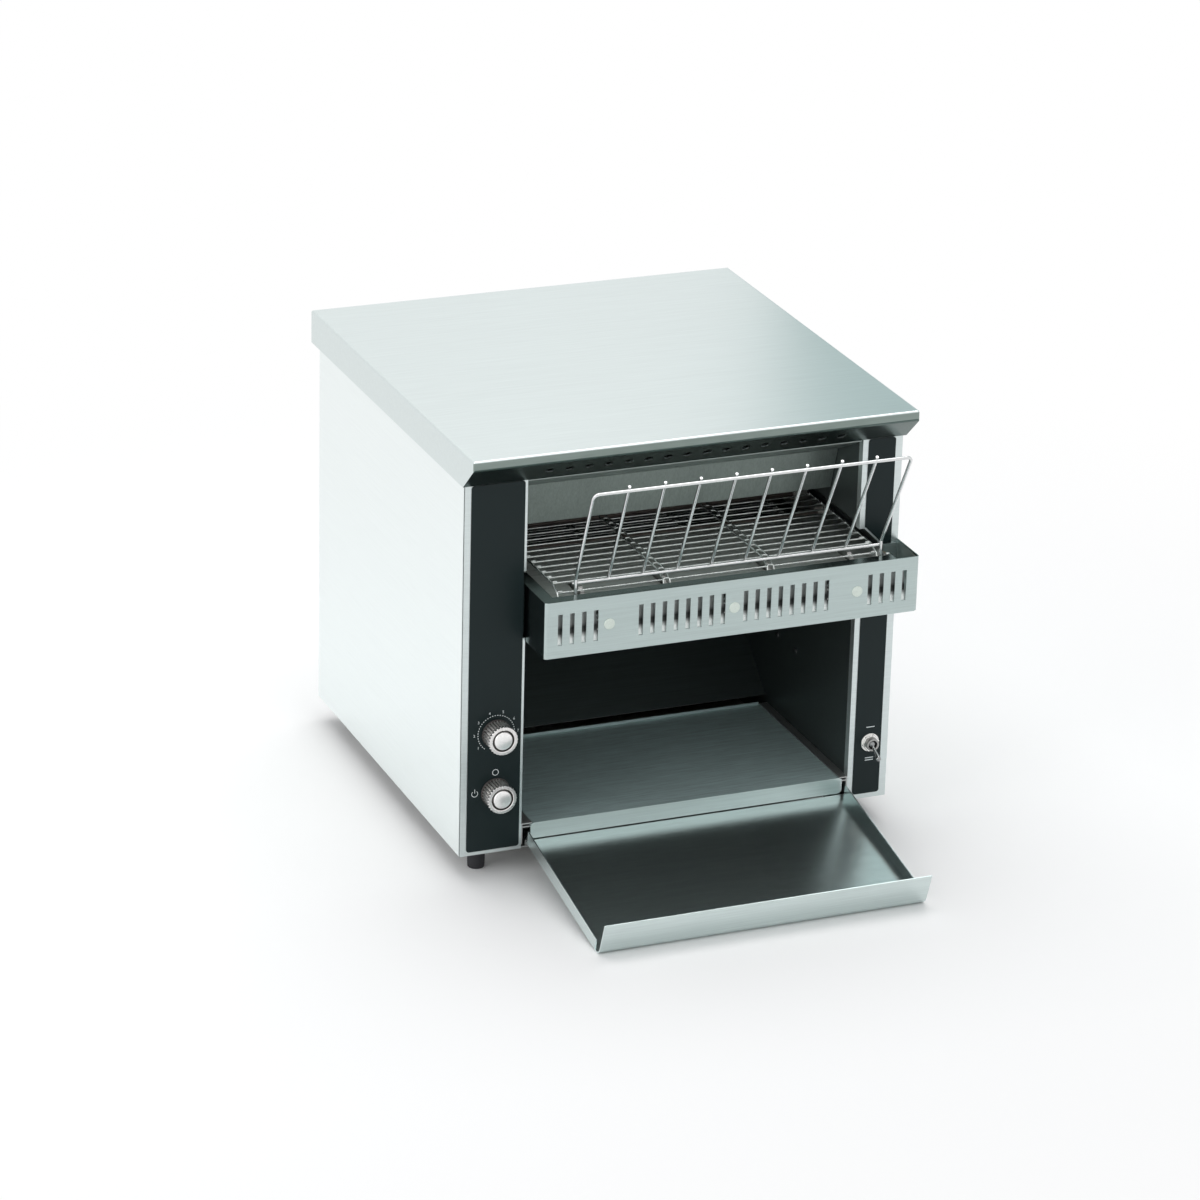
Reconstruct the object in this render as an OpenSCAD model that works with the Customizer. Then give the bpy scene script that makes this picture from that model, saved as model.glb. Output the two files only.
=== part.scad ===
// Countertop conveyor toaster: a folded sheet metal body with a hood, a wire belt that carries the
// bread in from a leaning wire rack, a chute that brings it back, a toast deck and a front tray.
// Millimetres, +Z up. Pieces are drawn from the front plane of the body and then set on the feet.

/* [Body] */
// Width of the body over its side panels
body_w = 410; // [390:1:430]
// Depth of the body from its front plane to the rear panel
body_d = 378.8; // [372:0.1:400]
// Height of the body from its base to the top of the cover
body_h = 377.2; // [374:0.1:400]
// Thickness of the folded sheet metal
sheet = 1.2; // [1:0.1:1.3]
// Width of the left pillar beside the opening
left_pillar_w = 57.5; // [56:0.1:64]
// Width of the right pillar beside the opening
right_pillar_w = 38.2; // [37:0.1:44]
// Height of the feet
foot_h = 23; // [15:0.5:40]
// Diameter of a foot
foot_dia = 16.5; // [14:0.1:22]

/* [Cover] */
// Width of the cover over its side flanges
cover_w = 415; // [414:0.5:435]
// Reach of the hood in front of the front plane
hood_reach = 26.3; // [20:0.1:34]
// Height of the upright strip along the hood's front
fascia_h = 8.7; // [6:0.1:12]
// Height of the cover's flanges
flange_h = 31.2; // [28:0.1:32]
// Reach of the cover behind the rear panel
cover_overhang = 16; // [14:0.5:26]
// Number of vent holes under the hood
vent_holes = 16; // [8:1:18]
// Diameter of a vent hole
vent_dia = 7.5; // [4:0.1:9]
// Distance between vent holes
vent_pitch = 18.17; // [14:0.01:19]

/* [Belt] */
// Depth of the belt's upper wires below the top of the cover
belt_drop = 125.2; // [123.2:0.1:129.2]
// Distance between wires of the belt
belt_pitch = 12.7; // [12:0.05:12.9]
// Least distance from the belt's rear shaft to the rear panel
belt_rear_gap = 67.6; // [64:0.1:76]
// Number of wires that a full turn of a sprocket passes
turn_wires = 9; // [9:2:9]
// Thickness of a belt wire
belt_wire = 1.6; // [1.2:0.1:2]
// Gap between the belt's left edge and its side plate
belt_left_gap = 9.05; // [8.5:0.05:14]
// Gap between the belt's right edge and its side plate
belt_right_gap = 11.95; // [11.5:0.05:16]
// Diameter of the two belt shafts
shaft_dia = 10; // [8:0.5:11]

/* [Shelf bracket] */
// Reach of the bracket in front of the front plane
bracket_reach = 45; // [44:0.5:56]
// Height of the bracket's front plate
bracket_h = 51.5; // [48:0.5:52]
// Width of a slot in the bracket
slot_w = 4.2; // [3:0.1:6]
// Height of a slot in the bracket
slot_h = 28.4; // [20:0.1:36]
// Distance between slots
slot_pitch = 11; // [9:0.05:11.2]

/* [Loading rack] */
// Thickness of the rack's wire
rack_wire = 3; // [2.5:0.1:3]
// Number of wires between the rack's side wires
rack_bars = 8; // [4:1:12]
// Height of the rack's top bar above its bottom bar
rack_rise = 98.7; // [80:0.1:104]
// Lean of the rack towards the front over that height
rack_lean = 49.6; // [30:0.1:60]

/* [Toast deck and chute] */
// Depth of the toast deck
deck_d = 180; // [150:1:186]
// Height of the deck's surface above the base of the body
deck_z = 22; // [20:0.5:24]
// Slope of the chute behind the deck in degrees
chute_angle = 40; // [36:0.5:42]

/* [Front tray] */
// Reach of the tray's lip in front of the front plane
tray_reach = 187; // [150:1:220]
// Height of the tray's lip above the counter
tray_lip_h = 32; // [20:0.5:40]
// Height of the tray's side rails
tray_rail_h = 13; // [8:0.5:18]

/* [Controls] */
// Diameter of a control knob
knob_dia = 27.5; // [24:0.1:32]
// Reach of a control knob in front of its panel
knob_h = 19; // [15:0.5:26]
// Height of the speed knob above the base of the body
speed_z = 114; // [104:0.5:150]
// Height of the power knob above the base of the body
power_z = 58.5; // [40:0.5:70]
// Height of the toggle switch above the base of the body
toggle_z = 54.6; // [40:0.1:80]
// Width of the toggle's hexagon nut over its flats
toggle_nut_af = 14.3; // [13:0.1:16]

/* [Hidden] */
// Overrun of every cut past the solid that it cuts
over = 1;
// Clearance between pieces that are only set against each other
gap = 0.3;
// Clearance all round a shaft in its bore
fit = 0.05;
// Clearance all round a screw in its hole
screw_fit = 0.2;
// Facets of a full round
$fn = 48;

// Side planes, pillars and the opening between them
left_x = -body_w / 2;
right_x = body_w / 2;
open_left = left_x + left_pillar_w;
open_right = right_x - right_pillar_w;
// Underside of the cover, and lower edge of the hood and the flanges
cover_z = body_h - sheet;
hood_z = body_h - flange_h;
// Back face of the cover, and the middle of the whole depth, which goes to zero
back_y = body_d + cover_overhang;
mid_y = (back_y - tray_reach) / 2;
// Width of the side panels' inward flanges
panel_flange = 12;
// Dark slit between the bezels and the side panels
panel_slit = 1;
// Front edge of the side panels, and the back of their flanges
panel_y = sheet + panel_slit;
panel_back = body_d - sheet;
// Depth of the bezels' returns beside the opening and inside the side panels
inner_return = 7.7;
outer_return = 14;
// Bevel at the foot of the right bezel
foot_bevel = [10, 9];

// Thickness of the black panels, and their margins on the bezels
panel_t = 0.8;
left_margin = [6, 2.5];
right_margin = [5.3, 6.9];
panel_foot = 3.5;
panel_round = 2.5;

// Notch beside the belt: bottom and top of it, and its reach into each pillar
notch_low = 200;
notch_high = 261.8;
notch_left = 2.5;
notch_right = 20.4;
notch_corner = 4.9;

// Inner walls: top of the chamber, the ledge over the lower cavity, and the belt tunnel
chamber_z = hood_z;
ledge_drop = 5;
ledge_z = notch_low - ledge_drop;
tunnel_depth = 20.7;
tunnel_x = open_right + tunnel_depth;
tunnel_rise = 4.6;
tunnel_top = notch_high + tunnel_rise;
wall_y = inner_return + gap;
wall_back = body_d - 2 * sheet - gap;

// Belt geometry that follows from the pitch and the sprockets
belt_z = body_h - belt_drop;
belt_r = belt_pitch / (2 * sin(180 / turn_wires));
shaft_z = belt_z - belt_r;
nose_y = -11;
belt_wires = 2 * floor((body_d - belt_rear_gap - nose_y) / belt_pitch + turn_wires / 2);
belt_run = (belt_wires - turn_wires) * belt_pitch / 2;
rear_y = nose_y + belt_run;
// Wires on a straight run, on a turn, and the angle between two wires on a turn
run_wires = floor((belt_wires - turn_wires) / 2) + 1;
bend_wires = (turn_wires - 1) / 2;
wire_step = 360 / turn_wires;
// Rows of short legs that join the wires, as shares of the belt's width
leg_row_shares = [0.004, 0.337, 0.661, 0.996];
// Rows of sprockets, as shares of the belt's width
sprocket_row_shares = [0.081, 0.337, 0.661, 0.921];
leg_dia = 1.4;

// Conveyor frame: side plates, support plate, bearings and spacers
plate_t = 1.5;
frame_gap = [9.5, 2];
frame_left = open_left + frame_gap[0];
frame_right = tunnel_x - frame_gap[1];
belt_left = frame_left + belt_left_gap;
belt_w = frame_right - belt_right_gap - belt_left;
plate_reach = [17.5, 9.5];
plate_low = shaft_z - plate_reach[0];
plate_high = shaft_z + plate_reach[1];
plate_end = 13;
plate_front = nose_y - plate_end;
plate_back = rear_y + plate_end;
support_reach = 103;
support_lead = 9;
bearing_dia = 14;
bearing_flange = [18, 1.5];
sprocket_t = 4;
sprocket_drop = 2.27;
sprocket_r = belt_r - sprocket_drop;
tooth_gap = 3.4;
hub_dia = 15;
hub_t = 12;

// Chain drive in the left compartment
chain_pitch = 6.35;
chain_teeth = 15;
chain_r = chain_pitch / (2 * sin(180 / chain_teeth));
chain_offset = 45;
chain_x = open_left - chain_offset;
chain_w = 3;
chain_band = 4;
chain_roller = 2;
chain_run = 125;
chain_angle = -124;
motor_y = rear_y + chain_run * cos(chain_angle);
motor_z = shaft_z + chain_run * sin(chain_angle);
motor_shaft_dia = 8;

// Places of the heating elements along the depth, as shares of the belt's run
upper_heater_shares = [0.36, 0.5, 0.64, 0.78, 0.92];
lower_heater_shares = [0.4, 0.58, 0.76];
heater_dia = 8;
heater_lift = 51;
holder = [13, 6];

// Reflector over the belt: its lower front edge, its bend and its upper front edge
reflector_ys = [62, 50, 2];
reflector_rises = [27.3, 68.3];
reflector_hang = 2.4;
reflector_low = [reflector_ys[0], belt_z + reflector_rises[0]];
reflector_bend = [reflector_ys[1], belt_z + reflector_rises[1]];
reflector_top = [reflector_ys[2], hood_z - reflector_hang];
// Ceiling of the chamber, and how far behind the front reflector it starts
ceiling_rise = 76;
ceiling_z = belt_z + ceiling_rise;
ceiling_step = 4;

// Control knobs and switches on the left pillar
knob_inset = 25.5;
knob_x = open_left - knob_inset;
knob_shaft = 6;
bushing_dia = 7;
toggle_inset = 20.2;
toggle_x = open_right + toggle_inset;

// Moves a piece from the front plane's frame to the frame of the whole part
module place() {
  translate([0, -mid_y, foot_h]) children();
}

// Rectangular block between two values along each axis
module block(x, y, z) {
  translate([x[0], y[0], z[0]]) cube([x[1] - x[0], y[1] - y[0], z[1] - z[0]]);
}

// Round bar between two points
module rod(a, b, dia) {
  d = b - a;
  translate(a)
    rotate([0, acos(d[2] / norm(d)), atan2(d[1], d[0])])
      cylinder(d = dia, h = norm(d));
}

// Round bars along X, Y and Z
module bar_x(x, y, z, dia) {
  translate([x[0], y, z]) rotate([0, 90, 0]) cylinder(d = dia, h = x[1] - x[0]);
}

module bar_y(x, y, z, dia) {
  translate([x, y[1], z]) rotate([90, 0, 0]) cylinder(d = dia, h = y[1] - y[0]);
}

module bar_z(x, y, z, dia) {
  translate([x, y, z[0]]) cylinder(d = dia, h = z[1] - z[0]);
}

// Outline in the side plane drawn out along X, and outline in the front plane drawn out along Y
module along_x(x, points) {
  translate([x[0], 0, 0]) rotate([90, 0, 90]) linear_extrude(x[1] - x[0]) polygon(points);
}

module along_y(y, points) {
  translate([0, y[1], 0]) rotate([90, 0, 0]) linear_extrude(y[1] - y[0]) polygon(points);
}

// Closed outline of a sheet of thickness t, folded along a path, with mitred folds
function unit(v) = v / norm(v);
function left_of(v) = [-v[1], v[0]];
function side(path, i) = left_of(unit(path[i + 1] - path[i]));
function miter(path, i) =
  let (n = len(path) - 1, a = side(path, max(i - 1, 0)), b = side(path, min(i, n - 1)))
  (a + b) / (1 + a * b);
function folded(path, t) =
  concat(path, [for (i = [len(path) - 1:-1:0]) path[i] + t * miter(path, i)]);

// Rectangle with round corners, as points in the front plane
round_steps = 4;
function rounded(x, z, r) = [
  for (corner = [0:3], k = [0:round_steps])
    let (a = 90 * (corner + k / round_steps), right = corner == 0 || corner == 3, high = corner < 2)
    [(right ? x[1] - r : x[0] + r) + r * cos(a), (high ? z[1] - r : z[0] + r) + r * sin(a)]
];

// Place of a belt wire in the side plane
function belt_point(i) =
  i < run_wires ? [nose_y + i * belt_pitch, belt_z]
  : i < run_wires + bend_wires
    ? let (a = 90 - wire_step * (i - run_wires + 0.5))
      [rear_y + belt_r * cos(a), shaft_z + belt_r * sin(a)]
  : i < 2 * run_wires + bend_wires
    ? [rear_y - (i - run_wires - bend_wires) * belt_pitch, shaft_z - belt_r]
  : let (a = 270 - wire_step * (i - 2 * run_wires - bend_wires + 0.5))
    [nose_y + belt_r * cos(a), shaft_z + belt_r * sin(a)];

// Body: side panels, cover, rear panel and base

module side_panel() {
  difference() {
    union() {
      block([left_x, left_x + sheet], [panel_y, body_d], [0, cover_z]);
      block([left_x, left_x + panel_flange], [panel_y, panel_back], [sheet, 2 * sheet]);
      block([left_x, left_x + panel_flange], [panel_y, panel_back], [cover_z - sheet, cover_z]);
      block([left_x, left_x + panel_flange], [panel_back - sheet, panel_back], [sheet, cover_z]);
    }
    for (z = rear_screw_zs)
      bar_y(left_x + panel_flange / 2 + sheet, [panel_back - 2 * sheet, panel_back + over], z,
        small_screw + 2 * screw_fit);
  }
}

module left_side_panel() {
  color("silver") place() side_panel();
}

module right_side_panel() {
  color("silver") place() mirror([1, 0, 0]) side_panel();
}

// Front of the hood in the side plane: lower edge, foot of the upright strip, and its top
hood_edge = [-1.5, hood_z];
hood_foot = [-hood_reach, body_h - fascia_h];
hood_head = [-hood_reach, body_h];
// Row of vent holes: its middle along X, and its place down the hood's slope
vent_mid = 2.6;
vent_slope_share = 0.5;
slope = hood_edge - hood_foot;
slope_normal = left_of(unit(slope));

module top_cover() {
  outline = [hood_edge, hood_foot, hood_head, [back_y, body_h], [back_y, hood_z]];
  hole = hood_foot + vent_slope_share * slope;
  color("gainsboro") place() difference() {
    union() {
      along_x([-cover_w / 2, cover_w / 2], folded(outline, -sheet));
      for (x = [-cover_w / 2, cover_w / 2 - sheet]) along_x([x, x + sheet], outline);
    }
    for (i = [0:vent_holes - 1])
      let (x = vent_mid + (i - (vent_holes - 1) / 2) * vent_pitch, n = slope_normal * (sheet + over))
        rod([x, hole[0] - n[0], hole[1] - n[1]], [x, hole[0] + n[0], hole[1] + n[1]], vent_dia);
  }
}

// Rear panel: its fan opening, gland hole, vent slots and screws
rear_inset = sheet + gap;
fan_inset = 47.5;
fan_z = 62;
fan_at = [open_left + fan_inset, fan_z];
fan_size = 80;
fan_depth = 25;
fan_bore = 76;
gland_inset = 16.8;
gland_z = 40;
gland_at = [open_right - gland_inset, gland_z];
gland_thread = 16;
rear_slot = [34, 5];
rear_slot_rows = 5;
rear_slot_pitch = 12;
rear_slot_cols = 6;
rear_slot_step = 52;
rear_slot_z = 262;
small_screw = 3;
rear_screw_margins = [24, 60];
rear_screw_zs = [rear_screw_margins[0], body_h / 2, body_h - rear_screw_margins[1]];

module rear_panel() {
  x = [left_x + rear_inset, right_x - rear_inset];
  y = [body_d - sheet, body_d];
  cut = [body_d - sheet - over, body_d + over];
  color("silver") place() difference() {
    block(x, y, [0, cover_z - gap]);
    bar_y(fan_at[0], cut, fan_at[1], fan_bore);
    bar_y(gland_at[0], cut, gland_at[1], gland_thread + 2 * screw_fit);
    for (row = [0:rear_slot_rows - 1], col = [0:rear_slot_cols - 1])
      let (sx = (col - (rear_slot_cols - 1) / 2) * rear_slot_step, sz = rear_slot_z + row * rear_slot_pitch)
        block([sx - rear_slot[0] / 2, sx + rear_slot[0] / 2], cut, [sz, sz + rear_slot[1]]);
    for (z = rear_screw_zs, s = [-1, 1])
      bar_y(s * (right_x - panel_flange / 2 - sheet), cut, z, small_screw + 2 * screw_fit);
  }
}

// Feet and their screws: distance from the body's sides, front and back
foot_inset = 25;
foot_margins = [25, 30];
foot_ys = [foot_margins[0], body_d - foot_margins[1]];
foot_screw = 4;
foot_screw_head = [8, 2.4];
foot_waist = 1.5;
// Vents in the base pan under the left compartment and the fan
base_vent = [26, 4];
base_vents = 8;
base_vent_pitch = 12;
base_vent_y = 110;

// Base pan, with a ledge along its front that the tray's tongues rest on
module base_pan() {
  x = [left_x + rear_inset, right_x - rear_inset];
  color("darkgray") place() difference() {
    union() {
      block(x, [sheet + gap, body_d - sheet - gap], [0, sheet]);
      block([tray_left + sheet, tray_right - sheet], [panel_y, panel_y + sheet], [0, tray_tongue_z - gap]);
    }
    for (y = foot_ys, s = [-1, 1])
      bar_z(s * (right_x - foot_inset), y, [-over, sheet + over], foot_screw + 2 * screw_fit);
    for (i = [0:base_vents - 1])
      let (y = base_vent_y + i * base_vent_pitch, vx = left_x + left_pillar_w / 2)
        block([vx - base_vent[0] / 2, vx + base_vent[0] / 2], [y, y + base_vent[1]], [-over, sheet + over]);
  }
}

// Front: bezels and black control panels

module knob_holes(y) {
  bar_y(knob_x, y, speed_z, bushing_dia + 2 * screw_fit);
  bar_y(knob_x, y, power_z, bushing_dia + 2 * screw_fit);
}

module left_bezel() {
  top = hood_z - gap;
  low = 2 * sheet + gap;
  color("lightgray") place() difference() {
    union() {
      block([left_x, open_left], [0, sheet], [0, top]);
      block([left_x + rear_inset, left_x + rear_inset + sheet], [0, outer_return], [low, top]);
      block([open_left - sheet, open_left], [0, inner_return], [sheet + gap, top]);
    }
    block([open_left - notch_left, open_left + over], [-over, inner_return + over], [notch_low, notch_high]);
    knob_holes([-over, sheet + over]);
  }
}

module left_control_panel() {
  x = [left_x + left_margin[0], open_left - left_margin[1]];
  color("#23292d") place() difference() {
    along_y([-panel_t, 0], rounded(x, [panel_foot, hood_z - 2 * gap], panel_round));
    knob_holes([-panel_t - over, over]);
  }
}

// Cut beside the belt in the right pillar, a 45 degree corner at its top
module belt_notch(y, margin) {
  x = [open_right - over, open_right + notch_right + margin];
  top = notch_high + margin;
  low = ledge_z - margin;
  along_y(y, [[x[0], low], [x[1], low], [x[1], top - (notch_right - notch_corner)],
    [open_right + notch_corner + margin, top], [x[0], top]]);
}

module right_bezel() {
  top = hood_z - gap;
  low = 2 * sheet + gap;
  hole = toggle_bushing + 2 * screw_fit;
  color("lightgray") place() difference() {
    union() {
      along_y([0, sheet], [[open_right, foot_bevel[1]], [open_right + foot_bevel[0], 0], [right_x, 0],
        [right_x, top], [open_right, top]]);
      block([right_x - rear_inset - sheet, right_x - rear_inset], [0, outer_return], [low, top]);
      block([open_right, open_right + sheet], [0, inner_return], [foot_bevel[1], top]);
    }
    belt_notch([-over, inner_return + over], 0);
    bar_y(toggle_x, [-over, sheet + over], toggle_z, hole);
    for (z = bracket_screw_zs) bar_y(bracket_screw_x, [-over, sheet + over], z, small_screw + 2 * screw_fit);
  }
}

module right_control_panel() {
  x = [open_right + right_margin[0], right_x - right_margin[1]];
  color("#23292d") place() difference() {
    along_y([-panel_t, 0], rounded(x, [panel_foot + sheet, hood_z - 2 * gap], panel_round));
    belt_notch([-panel_t - over, over], sheet);
    bar_y(toggle_x, [-panel_t - over, over], toggle_z, toggle_bushing + 2 * screw_fit);
    for (z = bracket_screw_zs)
      bar_y(bracket_screw_x, [-panel_t - over, over], z, small_screw + 2 * screw_fit);
  }
}

// Inside: chamber walls, chute, shields and reflectors

module left_chamber_wall() {
  cut = [open_left - sheet - over, open_left + over];
  color("dimgray") place() difference() {
    block([open_left - sheet, open_left], [wall_y, wall_back], [sheet, chamber_z]);
    bar_x(cut, rear_y, shaft_z, shaft_dia + 4 * sheet);
  }
}

module right_chamber_wall() {
  path = [[open_right, sheet], [open_right, ledge_z], [tunnel_x, ledge_z],
    [tunnel_x, tunnel_top - (tunnel_x - open_right)], [open_right, tunnel_top], [open_right, chamber_z]];
  color("dimgray") place() difference() {
    along_y([wall_y, wall_back], folded(path, -sheet));
    for (y = wall_screw_ys)
      bar_x([open_right - over, open_right + sheet + over], y, wall_screw_z, small_screw + 2 * screw_fit);
  }
}

// Chute: its foot behind the deck, and its head near the rear, where it turns up as a deflector
chute_step = [2, 8];
chute_foot = [deck_d + chute_step[0], deck_z + chute_step[1]];
chute_back_gap = 9.5;
chute_head_y = body_d - chute_back_gap;
chute_head_z = chute_foot[1] + (chute_head_y - chute_foot[0]) * tan(chute_angle);

module toast_chute() {
  path = [chute_foot, [chute_head_y, chute_head_z], [chute_head_y, chamber_z]];
  color("dimgray") place() along_x([open_left, open_right], folded(path, -sheet));
}

shield_end = 4;

module crumb_shield() {
  color("gray") place()
    block([open_left, tunnel_x], [wall_y, rear_y - shield_end], [ledge_z, ledge_z + sheet]);
}

module reflector_front() {
  path = [reflector_top, reflector_bend, reflector_low];
  color("silver") place() along_x([open_left + gap, open_right - gap], folded(path, sheet));
}

module reflector_ceiling() {
  y = [reflector_low[0] + ceiling_step, chute_head_y - gap];
  color("silver") place() block([open_left + gap, open_right - gap], y, [ceiling_z, ceiling_z + sheet]);
}

module heat_shield() {
  color("gray") place()
    block([open_left - sheet, open_right + sheet], [wall_y, wall_back], [chamber_z, chamber_z + sheet]);
}

// Heating elements and their ceramic holders

function heater_y(share) = nose_y + share * belt_run;

module heater_row(x, shares, z) {
  for (s = shares) bar_x([x[0] + gap, x[1] - gap], heater_y(s), z, heater_dia);
}

module holder_row(x, shares, z) {
  for (s = shares, end = [0, 1])
    let (base = end == 0 ? x[0] : x[1] - holder[1])
      difference() {
        bar_x([base, base + holder[1]], heater_y(s), z, holder[0]);
        bar_x([base - over, base + holder[1] + over], heater_y(s), z, heater_dia + 2 * fit);
      }
}

upper_span = [open_left, open_right];
lower_span = [frame_left + plate_t, frame_right - plate_t];

module heating_elements() {
  color("rosybrown") place() {
    heater_row(upper_span, upper_heater_shares, belt_z + heater_lift);
    heater_row(lower_span, lower_heater_shares, shaft_z);
  }
}

module heater_holders() {
  color("ivory") place() {
    holder_row(upper_span, upper_heater_shares, belt_z + heater_lift);
    holder_row(lower_span, lower_heater_shares, shaft_z);
  }
}

// Belt: one wire is a bar across the belt with short legs to the next wire

module belt_link(i) {
  a = belt_point(i);
  b = belt_point((i + 1) % belt_wires);
  leg = b - a;
  reach = leg * (1 - (belt_wire / 2 + gap) / norm(leg));
  union() {
    translate([belt_left, a[0], a[1]]) rotate([0, 90, 0]) cylinder(d = belt_wire, h = belt_w, $fn = 8);
    for (share = leg_row_shares)
      let (x = belt_left + share * belt_w)
        translate([x, a[0], a[1]])
          rotate([atan2(reach[1], reach[0]) - 90, 0, 0]) cylinder(d = leg_dia, h = norm(reach), $fn = 6);
  }
}

module conveyor_belt() {
  color("silver") place() for (i = [0:belt_wires - 1]) belt_link(i);
}

// Sprocket for the belt, with gaps at the places of the wires
module belt_sprocket(x, y, phase) {
  translate([x, y, shaft_z]) rotate([0, 90, 0]) difference() {
    union() {
      translate([0, 0, -sprocket_t / 2]) cylinder(r = sprocket_r, h = sprocket_t);
      translate([0, 0, -hub_t / 2]) cylinder(d = hub_dia, h = hub_t);
    }
    translate([0, 0, -hub_t]) cylinder(d = shaft_dia + 2 * fit, h = 2 * hub_t);
    for (k = [0:turn_wires - 1])
      rotate([0, 0, -phase - k * wire_step])
        translate([0, belt_r, -hub_t]) cylinder(r = tooth_gap, h = 2 * hub_t);
  }
}

module sprocket_row(y, phase) {
  for (share = sprocket_row_shares) belt_sprocket(belt_left + share * belt_w, y, phase);
}

module drive_sprockets() {
  color("darkgray") place() sprocket_row(rear_y, wire_step / 2);
}

module nose_sprockets() {
  color("darkgray") place() sprocket_row(nose_y, 0);
}

shaft_right = frame_right + bearing_flange[1] - gap;

module drive_shaft() {
  color("gray") place() bar_x([chain_x - chain_w - over, shaft_right], rear_y, shaft_z, shaft_dia);
}

module nose_shaft() {
  color("gray") place() bar_x([frame_left - 2 * bearing_flange[1], shaft_right], nose_y, shaft_z, shaft_dia);
}

// Conveyor frame

module conveyor_plates() {
  color("gray") place() for (x = [frame_left, frame_right - plate_t])
    difference() {
      block([x, x + plate_t], [plate_front, plate_back], [plate_low, plate_high]);
      for (y = [nose_y, rear_y]) bar_x([x - over, x + plate_t + over], y, shaft_z, bearing_dia + 2 * fit);
    }
}

module belt_support_plate() {
  z = [plate_high - sheet, plate_high];
  slot = sprocket_t / 2 + over;
  color("lightgray") place() difference() {
    block([frame_left + plate_t, frame_right - plate_t], [nose_y - support_lead, nose_y + support_reach], z);
    for (share = sprocket_row_shares)
      let (x = belt_left + share * belt_w)
        block([x - slot, x + slot], [nose_y - support_lead - over, nose_y + sprocket_r + slot],
          [z[0] - over, z[1] + over]);
  }
}

// Places of the spacers between the walls and the conveyor frame, as shares of the belt's run
spacer_shares = [0.16, 0.5, 0.86];
spacer_dia = 10;

module conveyor_spacers() {
  color("darkgray") place() for (s = spacer_shares) {
    bar_x([open_left, frame_left], heater_y(s), plate_low + spacer_dia / 2, spacer_dia);
    bar_x([frame_right, tunnel_x], heater_y(s), plate_low + spacer_dia / 2, spacer_dia);
  }
}

module bearing(x, inward) {
  flange = inward > 0 ? [x - bearing_flange[1], x] : [x, x + bearing_flange[1]];
  body = inward > 0 ? [x - over, x + 2 * plate_t] : [x - 2 * plate_t, x + over];
  for (y = [nose_y, rear_y]) difference() {
    union() {
      bar_x(flange, y, shaft_z, bearing_flange[0]);
      bar_x(body, y, shaft_z, bearing_dia);
    }
    bar_x([x - holder[1], x + holder[1]], y, shaft_z, shaft_dia + 2 * fit);
  }
}

module shaft_bearings() {
  color("peru") place() {
    bearing(frame_left, 1);
    bearing(frame_right, -1);
  }
}

// Chain drive

module chain_wheel(y, z, bore) {
  tip = chain_r - chain_band / 2 - gap;
  half = chain_w / 2;
  translate([chain_x, y, z]) rotate([0, 90, 0]) difference() {
    union() {
      translate([0, 0, -half]) cylinder(r = tip, h = chain_w);
      translate([0, 0, -half]) cylinder(d = hub_dia, h = 2 * chain_w);
    }
    translate([0, 0, -hub_t]) cylinder(d = bore + 2 * fit, h = 2 * hub_t);
    for (k = [0:chain_teeth - 1])
      rotate([0, 0, k * 360 / chain_teeth])
        translate([tip, 0, -chain_w]) cylinder(d = chain_roller, h = chain_w + half);
  }
}

module driven_chain_sprocket() {
  color("dimgray") place() chain_wheel(rear_y, shaft_z, shaft_dia);
}

// Motor's chain wheel, in one piece with the shaft that turns in the gearbox
module motor_chain_sprocket() {
  box_x = open_left - sheet - motor_base - motor_can[1] - gearbox[1];
  color("dimgray") place() union() {
    chain_wheel(motor_y, motor_z, motor_shaft_dia - sheet);
    bar_x([chain_x - chain_w, box_x + gearbox[1] - gap], motor_y, motor_z, motor_shaft_dia);
  }
}

// Loop round both chain wheels at a given distance from their middles, as a flat shape
module chain_loop(r) {
  circle(r = r);
  translate([chain_run, 0]) circle(r = r);
  translate([0, -r]) square([chain_run, 2 * r]);
}

module drive_chain() {
  pins = floor(chain_run / chain_pitch);
  color("dimgray") place()
    translate([chain_x - chain_w / 2, rear_y, shaft_z]) rotate([90, 0, 90]) rotate([0, 0, chain_angle]) {
      difference() {
        linear_extrude(chain_w) difference() {
          chain_loop(chain_r + chain_band / 2);
          chain_loop(chain_r - chain_band / 2);
        }
        for (k = [1:pins - 1], s = [-1, 1])
          translate([k * chain_pitch, s * chain_r, -over]) cylinder(d = chain_roller, h = chain_w + 2 * over);
      }
    }
}

// Gearmotor on the outer side of the left chamber wall
motor_dia = 60;
gearbox = [62, 14];
motor_can = [50, 20];
motor_base = 2;

module gearmotor() {
  x0 = open_left - sheet;
  can = [x0 - motor_base - motor_can[1], x0 - motor_base];
  box = [can[0] - gearbox[1], can[0]];
  color("darkslategray") place() difference() {
    union() {
      block([x0 - motor_base, x0], [motor_y - motor_dia / 2, motor_y + motor_dia / 2],
        [motor_z - motor_dia / 2, motor_z + motor_dia / 2]);
      bar_x([can[0] - over, can[1] + over], motor_y, motor_z, motor_can[0]);
      bar_x(box, motor_y, motor_z, motor_dia);
    }
    bar_x([box[0] - over, box[0] + gearbox[1]], motor_y, motor_z, motor_shaft_dia + 2 * fit);
  }
}

// Cooling fan inside the rear panel
fan_hub = 30;
fan_shaft = 3;
fan_blades = 7;
fan_blade = [1.6, 15];
fan_spoke = 5;
blade_pitch = 40;
// Gaps round the rotor: at the blades' tips, and behind it
fan_gaps = [1.5, 2];

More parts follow.
